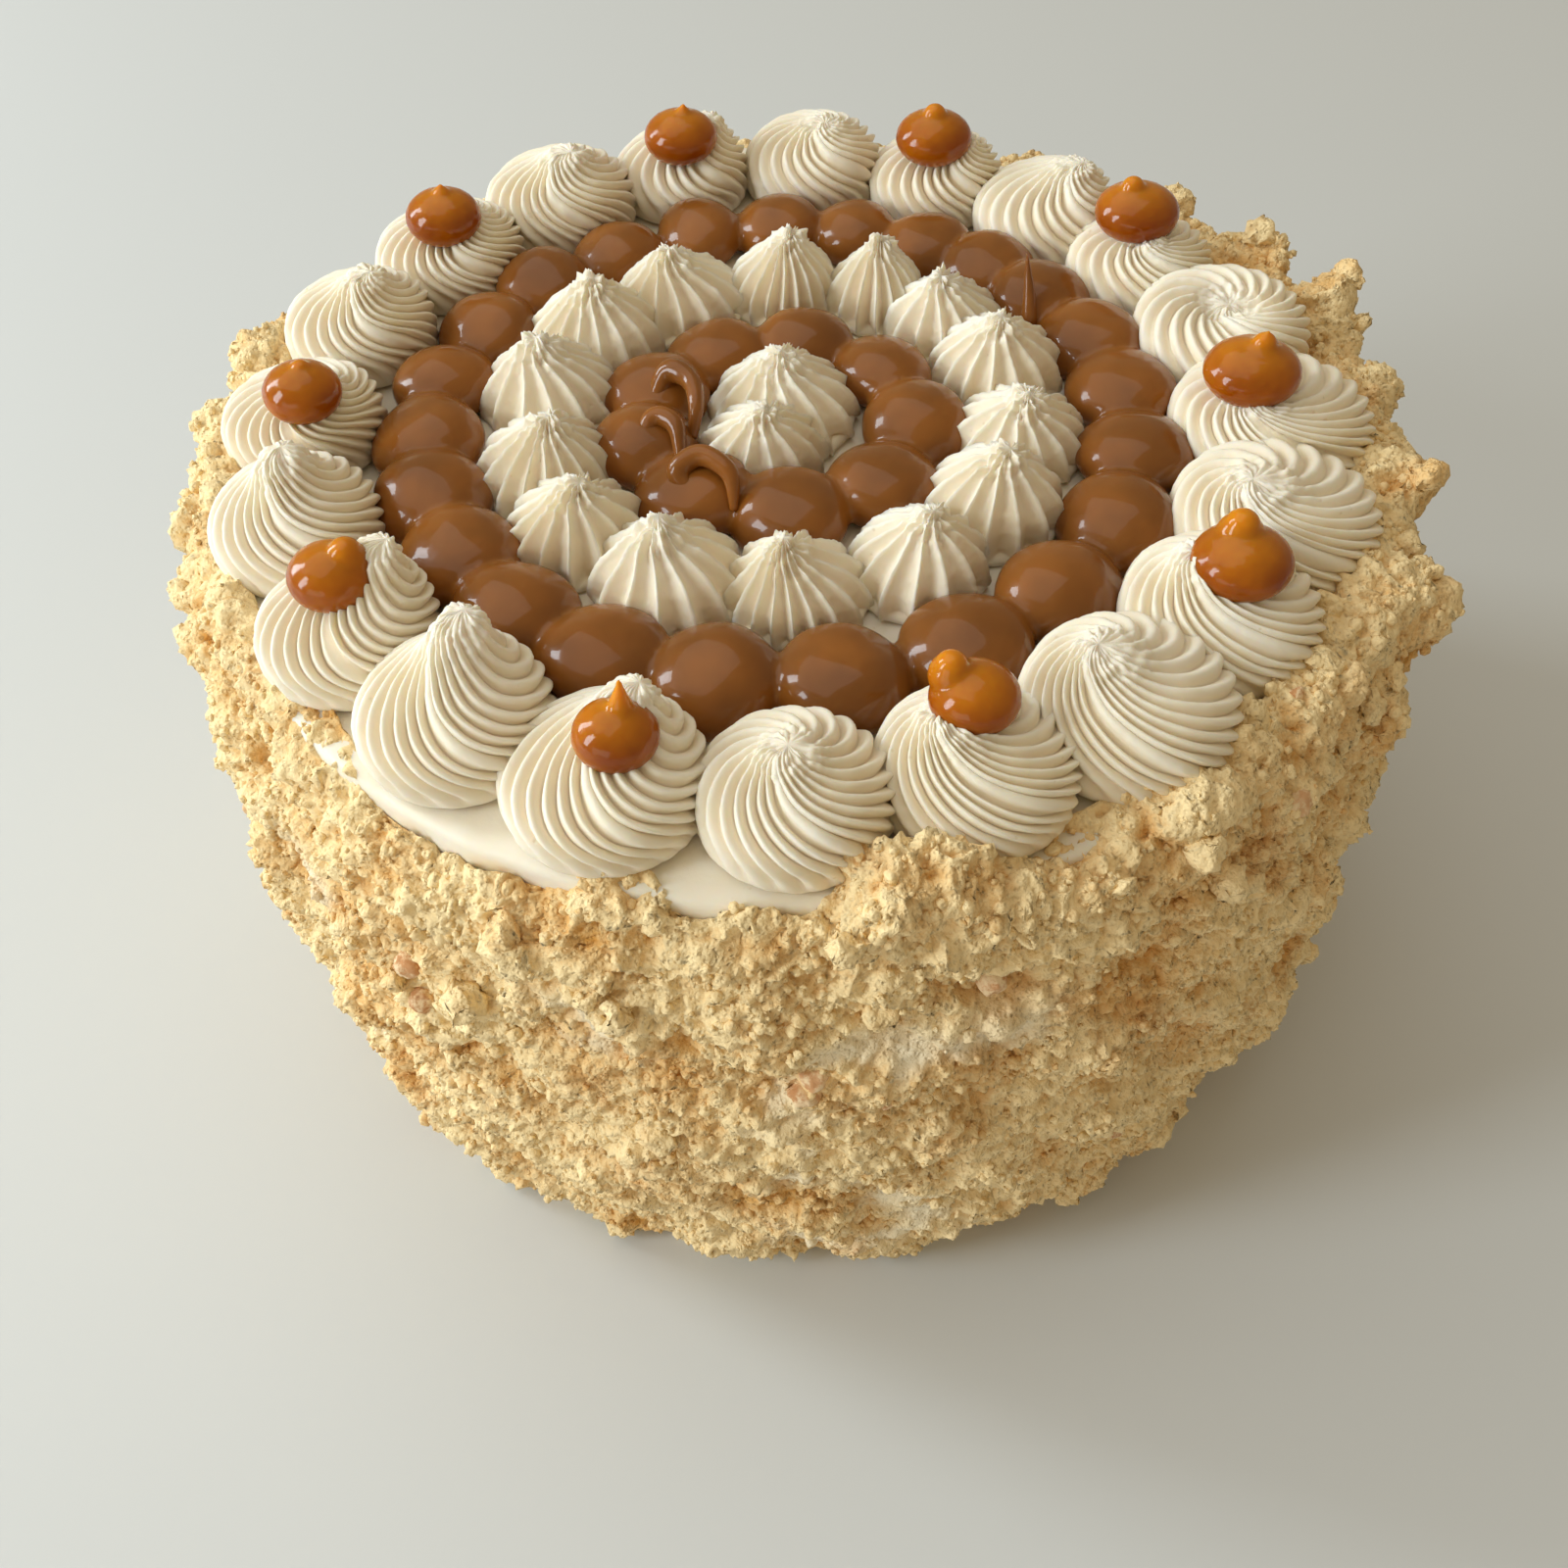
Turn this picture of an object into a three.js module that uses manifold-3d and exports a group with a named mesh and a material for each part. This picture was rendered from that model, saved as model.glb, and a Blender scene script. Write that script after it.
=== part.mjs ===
// A lucuma layer cake: a tall round drum coated in sponge crumbs, topped with rings of piped cream
// swirls, caramel beads and star kisses, with a dollop of lucuma jam on every second rim swirl.
// Millimetres, +Z up. The origin is the middle of the cake's foot and the front faces -Y.

import * as THREE from "three";
import { mergeVertices } from "three/addons/utils/BufferGeometryUtils.js";
import Module from "manifold-3d";

const wasm = await Module();
wasm.setup();

// Driving dimensions.
const GAP = 0.3;                                   // between pieces that rest on each other
const DRUM_TOP = 140.5;
// The drum's side from the foot up as [height, radius]: it bellies out and draws in again at the top.
const DRUM_SIDE = [[0, 118.5], [3, 119.5], [14, 123.5], [30, 127], [60, 130], [90, 131.3], [110, 130.2],
  [125, 127.8], [DRUM_TOP, 124.6]];
const CAP = { x: -2, radius: 120.5, thickness: 8, top: 140, round: 5, sides: 64 };
const PIPING_X = -4.5;                             // the rings are piped a little left of the middle
const PIPING_FLOOR = CAP.top + GAP;

// Ring rules: pieces stand at even angles, pushed together and apart by two slow waves (degrees). The
// rim's ring stands a little further out at the front than at the back.
const RIM_SWIRLS = { count: 20, ring: 98.9, front: 2.4, start: 268, waves: [[2.8, -93], [0.4, -30]] };
const OUTER_BEADS = { count: 23, ring: 73.6, start: 264.2, waves: [[6.5, 5], [3.2, -24]] };
// How far each kiss stands off its even place: round the ring in degrees, outwards, and its growth.
const KISS_NUDGES = [[2.2, 0, 0.9], [-1.1, -0.5, 0.92], [-1.2, -1.2, 1], [0, 0, 0.97], [-1.1, 1.8, 1.08],
  [1.8, -1.5, 1.1], [-1.7, 0.5, 0.88], [-0.3, 0, 0.88], [-2.2, -1, 0.97], [-0.8, -0.8, 1.06],
  [0.4, 1.4, 1.03], [-1.1, 2, 1], [-1.4, 1, 1.03], [2.7, -0.8, 0.98]];
const KISSES = { count: 14, ring: 49.3, start: 272.7, waves: [[3.8, -16], [2.9, -31]], nudges: KISS_NUDGES };
const INNER_BEADS = { count: 9, ring: 28.2, start: 276.1, waves: [[4.1, 50], [2.1, -73]] };

// How far each ring may reach from the middle of the piping, inner and outer edge.
const BANDS = { centre: 19.4, innerBeads: [19.8, 36.4], kisses: [36.7, 62.3], outerBeads: [62.6, 82.6],
  rimSwirls: [82.9, 121.8] };

// Piped profiles as [radius, height] from the foot up, all ending on the axis.
const SWIRL = { profile: [[0, 0], [16.4, 0], [18.4, 6], [12.4, 13.5], [0, 23.1]], ridges: 16,
  depth: [0.02, 0.08, 0.17], twist: [0, -12, -52], uneven: 0.05, lean: 4 };
// Tips of the plain swirls, from the front one round: some stay open and low, some end in a peak.
const SWIRL_TIPS = [15.6, 17.8, 17.4, 16.2, 19, 19.4, 19, 19.4, 21.4, 22.8];
const PRESSED_SWIRL = { profile: [[0, 0], [16.4, 0], [18.4, 6], [12, 12], [0, 12.6]], ridges: 16,
  depth: [0.02, 0.08, 0.15], twist: [0, -12, -46], uneven: 0, lean: 0 };
const KISS = { profile: [[0, 0], [14.2, 0], [15.6, 5], [9.6, 12.2], [0, 18.8]], ridges: 10,
  depth: [0.06, 0.16, 0.22], twist: [0, -5, -16], uneven: 0.05, lean: 2.5 };
const DOLLOP = { profile: [[0, 0], [5.4, -0.1], [8.1, 2.6], [7.2, 6.4], [3.2, 9.4], [0, 12.2]], sides: 10,
  lean: 2.2, bulge: 0.1 };
const OUTER_BEAD = { height: 11.6, crease: 0.6, stations: 4, sides: 8, peak: 1 };
const INNER_BEAD = { height: 11.2, crease: 0.6, stations: 4, sides: 8, peak: 1.4 };

// Growth of each rim swirl, from the front one round: the hand piped them larger on the right.
const SWIRL_GROWTHS = [0.94, 1, 1.08, 1.04, 1.12, 1.16, 1.05, 0.92, 0.93, 0.9, 0.93, 0.91, 0.99, 0.96, 0.92,
  0.94, 0.94, 0.95, 1, 1.04];

// Each dollop, from the second swirl round: how far it landed off its swirl's middle, and its growth.
const LANDINGS = [[0.7, 5.2, 1], [2.8, 0, 1.18], [-2.4, 0.8, 1.24], [-2.6, 3.6, 1.18], [0.2, -1.2, 1.12],
  [-1.2, -3, 1.08], [1.1, -3.3, 1.06], [3, -5.9, 1], [-0.5, 1.4, 1], [2.6, -1.4, 0.94]];

// The crumb coat: grid of the drum's side, depth of its crags, less at the rim, the stretch of rim where
// the coat stays low and bare cream shows, and clumps as [angle, height, reach from the middle, size].
const COAT = { columns: 72, rows: 12, crag: 3.1, rimCrag: 1.2, tumble: 2.2, swell: 1.6, swellSize: [26, 22],
  chips: 31, chipSize: [4.2, 7.2], rimWidth: 2.2, bareRim: 240, bareDrop: 6 };
const CLUMPS = [
  [28, 141, 125, 5.5], [20, 136, 126, 7.0], [18, 143, 125.5, 6.0], [5, 138, 125, 6.0], [349, 140, 126, 6.5],
  [336, 134, 128, 8.5], [329, 121, 127, 8.5], [318, 100, 128, 8.5], [304, 137, 124, 6.0],
  [292, 135, 124, 6.0], [276, 134, 124, 6.5], [246, 124, 125, 7.5], [216, 104, 130, 8.5],
  [226, 74, 129, 8.5], [201, 128, 126, 7.0], [188, 133, 127, 6.5], [176, 135, 127, 6.5],
  [165, 137, 127, 6.5], [150, 136, 126, 6.0], [128, 135, 126, 6.0], [104, 136, 126, 6.5],
  [84, 135, 126, 6.0], [62, 137, 126, 6.5], [44, 138, 126, 6.5],
];

const CREAM = { color: 0xf0e4c4, roughness: 0.62, metalness: 0 };
const CARAMEL = { color: 0x8f5a34, roughness: 0.16, metalness: 0 };
const LUCUMA = { color: 0xc4691a, roughness: 0.2, metalness: 0 };
const CRUMB = { color: 0xe6d098, roughness: 0.9, metalness: 0 };

const rad = THREE.MathUtils.degToRad;
const cake = new THREE.Group();

// Seeded draws: the same cake every time.
function seeded(seed) {
  let state = seed >>> 0;
  return () => {
    state = (state + 0x6d2b79f5) >>> 0;
    let mixed = Math.imul(state ^ (state >>> 15), 1 | state);
    mixed = (mixed + Math.imul(mixed ^ (mixed >>> 7), 61 | mixed)) ^ mixed;
    return ((mixed ^ (mixed >>> 14)) >>> 0) / 4294967296;
  };
}

const spread = (draw, amount) => (2 * draw() - 1) * amount;

// Angle of piece number `place` of a ring; a half number is the crease between two pieces.
function ringAngle(ring, place) {
  const even = ring.start + (360 * place) / ring.count;
  const push = ring.waves.map(([size, side], index) => size * Math.cos(rad((index + 1) * even - side)));
  const nudge = (number) => ring.nudges?.at(number % ring.count)[0] ?? 0;
  return rad(even + push[0] + push[1] + (nudge(Math.floor(place)) + nudge(Math.ceil(place))) / 2);
}

// A cell is the convex patch of the top that a piped piece may fill: straight walls (where
// normal . point <= limit) shared with its neighbours, and a round outer wall about the piping's middle.
function ringCell(ring, place, [inner, outer]) {
  const angle = ringAngle(ring, place);
  const out = ring.ring - (ring.front ?? 0) * Math.sin(angle) + (ring.nudges?.[place][1] ?? 0);
  const before = ringAngle(ring, place - 0.5);
  const after = ringAngle(ring, place + 0.5);
  const side = GAP / 2;
  return {
    middle: new THREE.Vector2(out * Math.cos(angle), out * Math.sin(angle)),
    angle,
    round: outer,
    walls: [
      { normal: new THREE.Vector2(Math.sin(before), -Math.cos(before)), limit: -side },
      { normal: new THREE.Vector2(-Math.sin(after), Math.cos(after)), limit: -side },
      { normal: new THREE.Vector2(-Math.cos(angle), -Math.sin(angle)), limit: -inner },
    ],
  };
}

// The share of a step from the cell's middle that stays inside the cell.
function stayInside(cell, step) {
  let share = 1;
  for (const { normal, limit } of cell.walls) {
    const towards = normal.dot(step);
    if (towards > 0) share = Math.min(share, (limit - normal.dot(cell.middle)) / towards);
  }
  const a = step.lengthSq();
  const b = cell.middle.dot(step);
  const c = cell.middle.lengthSq() - cell.round ** 2;
  if (a > 0) share = Math.min(share, (Math.sqrt(b * b - a * c) - b) / a);
  return share;
}

// Turns a lathe's profile upright and moves each of its points by place(column angle, ring, radius, height).
function latheUpright(profile, columns, place) {
  const points = profile.map(([radius, height]) => new THREE.Vector2(radius, height));
  const lathe = new THREE.LatheGeometry(points, columns);
  const position = lathe.attributes.position;
  for (let i = 0; i < position.count; i += 1) {
    const ring = i % profile.length;
    const column = Math.floor(i / profile.length) % columns;
    const point = place((2 * Math.PI * column) / columns, ring, ...profile[ring]);
    position.setXYZ(i, point.x, point.y, point.z);
  }
  return lathe;
}

function addMesh(name, geometry, finish, x = 0, z = 0) {
  const mesh = new THREE.Mesh(geometry, new THREE.MeshStandardMaterial(finish));
  mesh.name = name;
  mesh.position.set(x, 0, z);
  cake.add(mesh);
  return mesh;
}

// A piece piped through a star nozzle: ridges that wind round the axis and run up to a leaning tip.
function pipedStar(style, cell, draw, grow = 1) {
  const size = grow * (1 + spread(draw, 0.04));
  const tall = 1 + spread(draw, style.uneven);
  const turn = draw() * 2 * Math.PI;
  const leanAngle = draw() * 2 * Math.PI;
  const height = style.profile[style.profile.length - 1][1];
  return latheUpright(style.profile, 2 * style.ridges, (angle, ring, radius, rise) => {
    const offset = style.lean * (rise / height) ** 2;
    const axis = new THREE.Vector2(offset * Math.cos(leanAngle), offset * Math.sin(leanAngle));
    if (radius === 0) return new THREE.Vector3(cell.middle.x + axis.x, cell.middle.y + axis.y, rise * tall);
    const ridge = Math.cos(style.ridges * angle) * style.depth[ring - 1];
    const around = angle + turn + rad(style.twist[ring - 1]);
    const reach = radius * size * (1 + ridge);
    const step = new THREE.Vector2(reach * Math.cos(around), reach * Math.sin(around)).add(axis);
    const point = step.multiplyScalar(stayInside(cell, step)).add(cell.middle);
    return new THREE.Vector3(point.x, point.y, rise * tall);
  });
}

// Jam dropped from a spoon: a fat round drop, one side heavier, drawn up to a tail.
function jamDollop(cell, [offX, offY, size], draw) {
  const heavy = draw() * 2 * Math.PI;
  const lean = draw() * 2 * Math.PI;
  const top = DOLLOP.profile[DOLLOP.profile.length - 1][1];
  return latheUpright(DOLLOP.profile, DOLLOP.sides, (angle, ring, radius, rise) => {
    const offset = DOLLOP.lean * (rise / top) ** 2;
    const bulge = rise > 0 ? 1 + DOLLOP.bulge * Math.cos(angle - heavy) : 1 - DOLLOP.bulge / 2;
    const reach = radius * size * bulge;
    const x = cell.middle.x + offX + reach * Math.cos(angle) + offset * Math.cos(lean);
    const y = cell.middle.y + offY + reach * Math.sin(angle) + offset * Math.sin(lean);
    return new THREE.Vector3(x, y, rise);
  });
}

// A ring of caramel beads that run into each other: a closed hoop whose section swells at each bead.
function beadRing(ring, bead, [inner, outer], draw) {
  const hoops = ring.count * bead.stations;
  const hoop = new THREE.TorusGeometry(ring.ring, 5, bead.sides, hoops);
  const sizes = Array.from({ length: ring.count }, () => 1 + spread(draw, 0.08));
  const leans = Array.from({ length: ring.count }, () => spread(draw, 0.5));
  const position = hoop.attributes.position;
  const half = (outer - inner) / 2;
  for (let i = 0; i < position.count; i += 1) {
    const station = i % (hoops + 1);
    const side = Math.floor(i / (hoops + 1)) % bead.sides;
    const place = (station % hoops) / bead.stations - 0.5;
    const number = Math.floor(place + 0.5) % ring.count;
    const across = 2 * (place - number);
    const swell = Math.sqrt(Math.max(0, 1 - across * across));
    const fullness = bead.crease + (1 - bead.crease) * swell;
    const sectionAngle = (2 * Math.PI * (side + 0.5)) / bead.sides;
    const flat = Math.sin(sectionAngle) < -0.5;
    const reach = half * (0.75 + 0.25 * swell) * Math.cos(sectionAngle);
    const lift = flat ? 0 : bead.height * sizes[number] * fullness * (0.5 + 0.5 * Math.sin(sectionAngle));
    const atPeak = Math.sin(sectionAngle) > 0.8 && Math.abs(across) < 0.01;
    const peak = atPeak ? bead.peak * (1 + leans[number]) : 0;
    const radius = THREE.MathUtils.clamp(ring.ring + reach * (flat ? 1.35 : 1.05), inner, outer);
    const angle = ringAngle(ring, place);
    position.setXYZ(i, radius * Math.cos(angle), radius * Math.sin(angle), lift + peak);
  }
  return hoop;
}

// Value noise on a whole-number grid, smooth between grid points, from -1 to 1.
function noise(x, y, z) {
  const corner = (i, j, k) => {
    const mixed = Math.sin(i * 127.1 + j * 311.7 + k * 74.7) * 43758.5453;
    return 2 * (mixed - Math.floor(mixed)) - 1;
  };
  const [i, j, k] = [Math.floor(x), Math.floor(y), Math.floor(z)];
  const [u, v, w] = [x - i, y - j, z - k].map((t) => t * t * (3 - 2 * t));
  const mix = THREE.MathUtils.lerp;
  const face = (depth) => mix(
    mix(corner(i, j, depth), corner(i + 1, j, depth), u),
    mix(corner(i, j + 1, depth), corner(i + 1, j + 1, depth), u), v);
  return mix(face(k), face(k + 1), w);
}

// Exact joining and cutting of closed meshes.
function solidOf(geometry) {
  geometry.deleteAttribute("normal");
  geometry.deleteAttribute("uv");
  const merged = mergeVertices(geometry, 1e-3);
  const index = Array.from(merged.index.array);
  const kept = [];
  for (let i = 0; i < index.length; i += 3) {
    const [a, b, c] = index.slice(i, i + 3);
    if (a !== b && b !== c && c !== a) kept.push(a, b, c);
  }
  return new wasm.Manifold(new wasm.Mesh({
    numProp: 3,
    vertProperties: new Float32Array(merged.attributes.position.array),
    triVerts: new Uint32Array(kept),
  }));
}

function geometryOf(solid) {
  const mesh = solid.getMesh();
  const geometry = new THREE.BufferGeometry();
  geometry.setAttribute("position", new THREE.BufferAttribute(new Float32Array(mesh.vertProperties), 3));
  geometry.setIndex(new THREE.BufferAttribute(new Uint32Array(mesh.triVerts), 1));
  geometry.computeVertexNormals();
  return geometry;
}

// Radius of the drum's side at a height, straight between the stations.
function drumRadius(height) {
  const next = Math.max(1, DRUM_SIDE.findIndex(([level]) => level >= height));
  const [[low, from], [high, to]] = DRUM_SIDE.slice(next - 1, next + 1);
  return THREE.MathUtils.mapLinear(height, low, high, from, to);
}

// The bare drum, its side broken into crags.
function cragDrum() {
  const side = Array.from({ length: COAT.rows }, (_, row) => {
    const rise = 3 + ((DRUM_TOP - 5) * row) / (COAT.rows - 1);
    return [drumRadius(rise), rise];
  });
  const rim = drumRadius(DRUM_TOP) - COAT.rimWidth;
  const profile = [[0, 0], [drumRadius(0), 0], ...side, [rim, DRUM_TOP], [0, DRUM_TOP]];
  const draw = seeded(11);
  const jitter = Array.from({ length: profile.length * COAT.columns }, () => [draw(), draw(), draw()]);
  return latheUpright(profile, COAT.columns, (angle, ring, radius, rise) => {
    if (radius === 0) return new THREE.Vector3(0, 0, rise);
    const column = Math.round((angle * COAT.columns) / (2 * Math.PI));
    const [one, two, three] = jitter[ring * COAT.columns + column].map((value) => 2 * value - 1);
    const onSide = ring > 1 && ring < profile.length - 1;
    const around = angle + (onSide ? (one * 0.3 * 2 * Math.PI) / COAT.columns : 0);
    const across = [radius * Math.cos(around), radius * Math.sin(around)];
    const [wide, tall] = COAT.swellSize;
    const swell = COAT.swell * noise(across[0] / wide, across[1] / wide, rise / tall);
    const crag = rise > CAP.top - CAP.thickness ? COAT.rimCrag : COAT.crag;
    const reach = radius + (onSide ? swell + crag * two : 0.8 * swell);
    const bare = Math.max(0, Math.cos(angle - rad(COAT.bareRim))) ** 6;
    const low = rise > CAP.top - CAP.thickness ? COAT.bareDrop * bare : 0;
    const lift = onSide ? rise - low + COAT.tumble * three : rise;
    return new THREE.Vector3(reach * Math.cos(around), reach * Math.sin(around), Math.max(0, lift));
  });
}

// One broken lump of sponge: a twenty-sided grain with every corner pulled in or out.
function crumbLump(size, at, draw) {
  const grain = new THREE.IcosahedronGeometry(size, 0);
  grain.deleteAttribute("normal");
  grain.deleteAttribute("uv");
  const lump = mergeVertices(grain, 1e-3);
  const turn = new THREE.Euler(draw() * 6, draw() * 6, draw() * 6);
  const position = lump.attributes.position;
  for (let i = 0; i < position.count; i += 1) {
    const corner = new THREE.Vector3().fromBufferAttribute(position, i);
    corner.multiplyScalar(1 + spread(draw, 0.28)).applyEuler(turn);
    corner.z *= 0.8;
    corner.add(at);
    position.setXYZ(i, corner.x, corner.y, Math.max(0, corner.z));
  }
  return solidOf(lump);
}

const onDrum = (angle, reach, height) =>
  new THREE.Vector3(reach * Math.cos(angle), reach * Math.sin(angle), height);

// The cake's body: drum, clumps and chips in one solid, with a round seat for the cream on top.
function crumbBody() {
  const draw = seeded(29);
  let body = solidOf(cragDrum());
  for (const [angle, height, reach, size] of CLUMPS) {
    body = body.add(crumbLump(size, onDrum(rad(angle), reach, height), draw));
  }
  for (let chip = 0; chip < COAT.chips; chip += 1) {
    const angle = rad((360 * (chip + 0.7 * draw())) / COAT.chips);
    const height = 5 + 127 * ((chip * 0.618 + 0.1 * draw()) % 1);
    const size = THREE.MathUtils.lerp(...COAT.chipSize, draw());
    body = body.add(crumbLump(size, onDrum(angle, drumRadius(height) - 0.25 * size, height), draw));
  }
  const seatFloor = CAP.top - CAP.thickness - GAP;
  const seat = new THREE.CylinderGeometry(CAP.radius + GAP, CAP.radius + GAP, 60, CAP.sides);
  seat.rotateX(Math.PI / 2);
  seat.translate(CAP.x, 0, seatFloor + 30);
  return geometryOf(body.subtract(solidOf(seat)));
}

// The smooth cream on top, a flat disc with a rounded rim.
function creamCap() {
  const { radius, thickness, round } = CAP;
  const rim = [0, 0.5, 1].map((share) => {
    const angle = (share * Math.PI) / 2;
    return [radius - round * (1 - Math.cos(angle)), thickness - round * (1 - Math.sin(angle))];
  });
  const profile = [[0, 0], [radius, 0], ...rim, [0, thickness]];
  const cap = new THREE.LatheGeometry(profile.map(([r, h]) => new THREE.Vector2(r, h)), CAP.sides);
  return cap.rotateX(Math.PI / 2);
}

addMesh("cake_body", crumbBody(), CRUMB);
addMesh("cream_cap", creamCap(), CREAM, CAP.x, CAP.top - CAP.thickness);

// Rim swirls, every second one pressed down under a dollop of jam.
for (let place = 0; place < RIM_SWIRLS.count; place += 1) {
  const draw = seeded(100 + place);
  const number = String(place + 1).padStart(2, "0");
  const cell = ringCell(RIM_SWIRLS, place, BANDS.rimSwirls);
  const pressed = place % 2 === 1;
  const plain = { ...SWIRL, profile: [...SWIRL.profile.slice(0, -1), [0, SWIRL_TIPS[place >> 1]]] };
  const swirl = pipedStar(pressed ? PRESSED_SWIRL : plain, cell, draw, SWIRL_GROWTHS[place]);
  addMesh(`rim_swirl_${number}`, swirl, CREAM, PIPING_X, PIPING_FLOOR);
  if (pressed) {
    const seatHeight = PIPING_FLOOR + PRESSED_SWIRL.profile[PRESSED_SWIRL.profile.length - 1][1] + GAP;
    const dollop = jamDollop(cell, LANDINGS[place >> 1], draw);
    addMesh(`lucuma_dollop_${number}`, dollop, LUCUMA, PIPING_X, seatHeight);
  }
}

addMesh("caramel_ring_outer", beadRing(OUTER_BEADS, OUTER_BEAD, BANDS.outerBeads, seeded(7)), CARAMEL,
  PIPING_X, PIPING_FLOOR);
addMesh("caramel_ring_inner", beadRing(INNER_BEADS, INNER_BEAD, BANDS.innerBeads, seeded(8)), CARAMEL,
  PIPING_X, PIPING_FLOOR);

for (let place = 0; place < KISSES.count; place += 1) {
  const number = String(place + 1).padStart(2, "0");
  const cell = ringCell(KISSES, place, BANDS.kisses);
  const kiss = pipedStar(KISS, cell, seeded(200 + place), KISSES.nudges[place][2]);
  addMesh(`cream_kiss_${number}`, kiss, CREAM, PIPING_X, PIPING_FLOOR);
}

// Two kisses fill the middle; the one behind is the larger, and a straight wall parts them.
const FRONT_KISS = new THREE.Vector2(-4.8, -8.9);
const BACK_KISS = new THREE.Vector2(1.6, 7.4);
const across = BACK_KISS.clone().sub(FRONT_KISS).normalize();
const partAt = across.dot(FRONT_KISS.clone().lerp(BACK_KISS, 0.44));
const middleKisses = [
  { name: "centre_kiss_front", middle: FRONT_KISS, normal: across, limit: partAt - GAP / 2, grow: 0.9 },
  { name: "centre_kiss_back", middle: BACK_KISS, normal: across.clone().negate(), limit: -partAt - GAP / 2,
    grow: 1.08 },
];
middleKisses.forEach(({ name, middle, normal, limit, grow }, index) => {
  const cell = { middle, angle: 0, round: BANDS.centre, walls: [{ normal, limit }] };
  addMesh(name, pipedStar(KISS, cell, seeded(300 + index), grow), CREAM, PIPING_X, PIPING_FLOOR);
});

export default cake;
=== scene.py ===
# %% [markdown]
# # A lucuma layer cake
# A tall round cake, coated in sponge crumbs. Its top carries rings of piped cream swirls, glossy caramel
# beads and star kisses, with a dollop of orange lucuma jam on every second swirl of the rim.
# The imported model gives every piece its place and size. This lesson dresses those plain solids, piece
# by piece, and reads their boxes from the frame, so that nothing has to be fitted by eye.

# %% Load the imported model
import math
import random

import bpy
from mathutils import Matrix, Vector


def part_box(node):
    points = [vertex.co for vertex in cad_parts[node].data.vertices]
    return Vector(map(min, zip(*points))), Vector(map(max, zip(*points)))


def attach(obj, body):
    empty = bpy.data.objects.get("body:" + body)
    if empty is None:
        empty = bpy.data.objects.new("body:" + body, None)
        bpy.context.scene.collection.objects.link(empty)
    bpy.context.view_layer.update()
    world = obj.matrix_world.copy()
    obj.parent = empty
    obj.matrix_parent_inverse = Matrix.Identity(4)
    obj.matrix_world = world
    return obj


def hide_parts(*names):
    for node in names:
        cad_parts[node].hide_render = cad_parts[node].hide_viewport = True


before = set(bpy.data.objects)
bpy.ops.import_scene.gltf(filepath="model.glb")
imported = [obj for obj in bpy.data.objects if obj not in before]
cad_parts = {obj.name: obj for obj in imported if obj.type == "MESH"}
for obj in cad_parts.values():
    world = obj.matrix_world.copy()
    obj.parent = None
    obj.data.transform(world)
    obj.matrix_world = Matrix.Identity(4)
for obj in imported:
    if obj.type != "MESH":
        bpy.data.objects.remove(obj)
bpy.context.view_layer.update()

MM = 0.001

# %% [markdown]
# ## Node trees written as sums
# Materials and Geometry Nodes are both trees of small nodes, and most of those nodes do arithmetic.
# Wiring them one at a time hides the formula. So a `Wire` stands for one output of a node, and a sum in
# Python on a wire adds the Math node that works it out. Every other node comes from `Recipe.node`.

# %% A wire that can be used in sums
class Wire:
    """One output of a node. Arithmetic on it adds Math nodes to the same tree."""

    def __init__(self, recipe, socket):
        self.recipe = recipe
        self.socket = socket

    def math(self, operation, *others):
        return self.recipe.node("ShaderNodeMath", dict(enumerate((self, *others))), operation=operation)

    def out(self, name):
        return Wire(self.recipe, self.recipe.find(self.socket.node.outputs, name))

    def __add__(self, other):
        return self.math("ADD", other)

    def __sub__(self, other):
        return self.math("SUBTRACT", other)

    def __rsub__(self, other):
        return self.recipe.node("ShaderNodeMath", {0: other, 1: self}, operation="SUBTRACT")

    def __mul__(self, other):
        return self.math("MULTIPLY", other)

    def __truediv__(self, other):
        return self.math("DIVIDE", other)

    def __pow__(self, other):
        return self.math("POWER", other)

    def __abs__(self):
        return self.math("ABSOLUTE")

    __radd__ = __add__
    __rmul__ = __mul__

    def sin(self):
        return self.math("SINE")

    def cos(self):
        return self.math("COSINE")

    def clamp(self):
        return self.math("MAXIMUM", 0).math("MINIMUM", 1)

    def rise(self, low, high):
        """0 below low, 1 above high, and a smooth step between them."""
        limits = {"Value": self, "From Min": low, "From Max": high}
        return self.recipe.node("ShaderNodeMapRange", limits, interpolation_type="SMOOTHSTEP")


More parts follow.
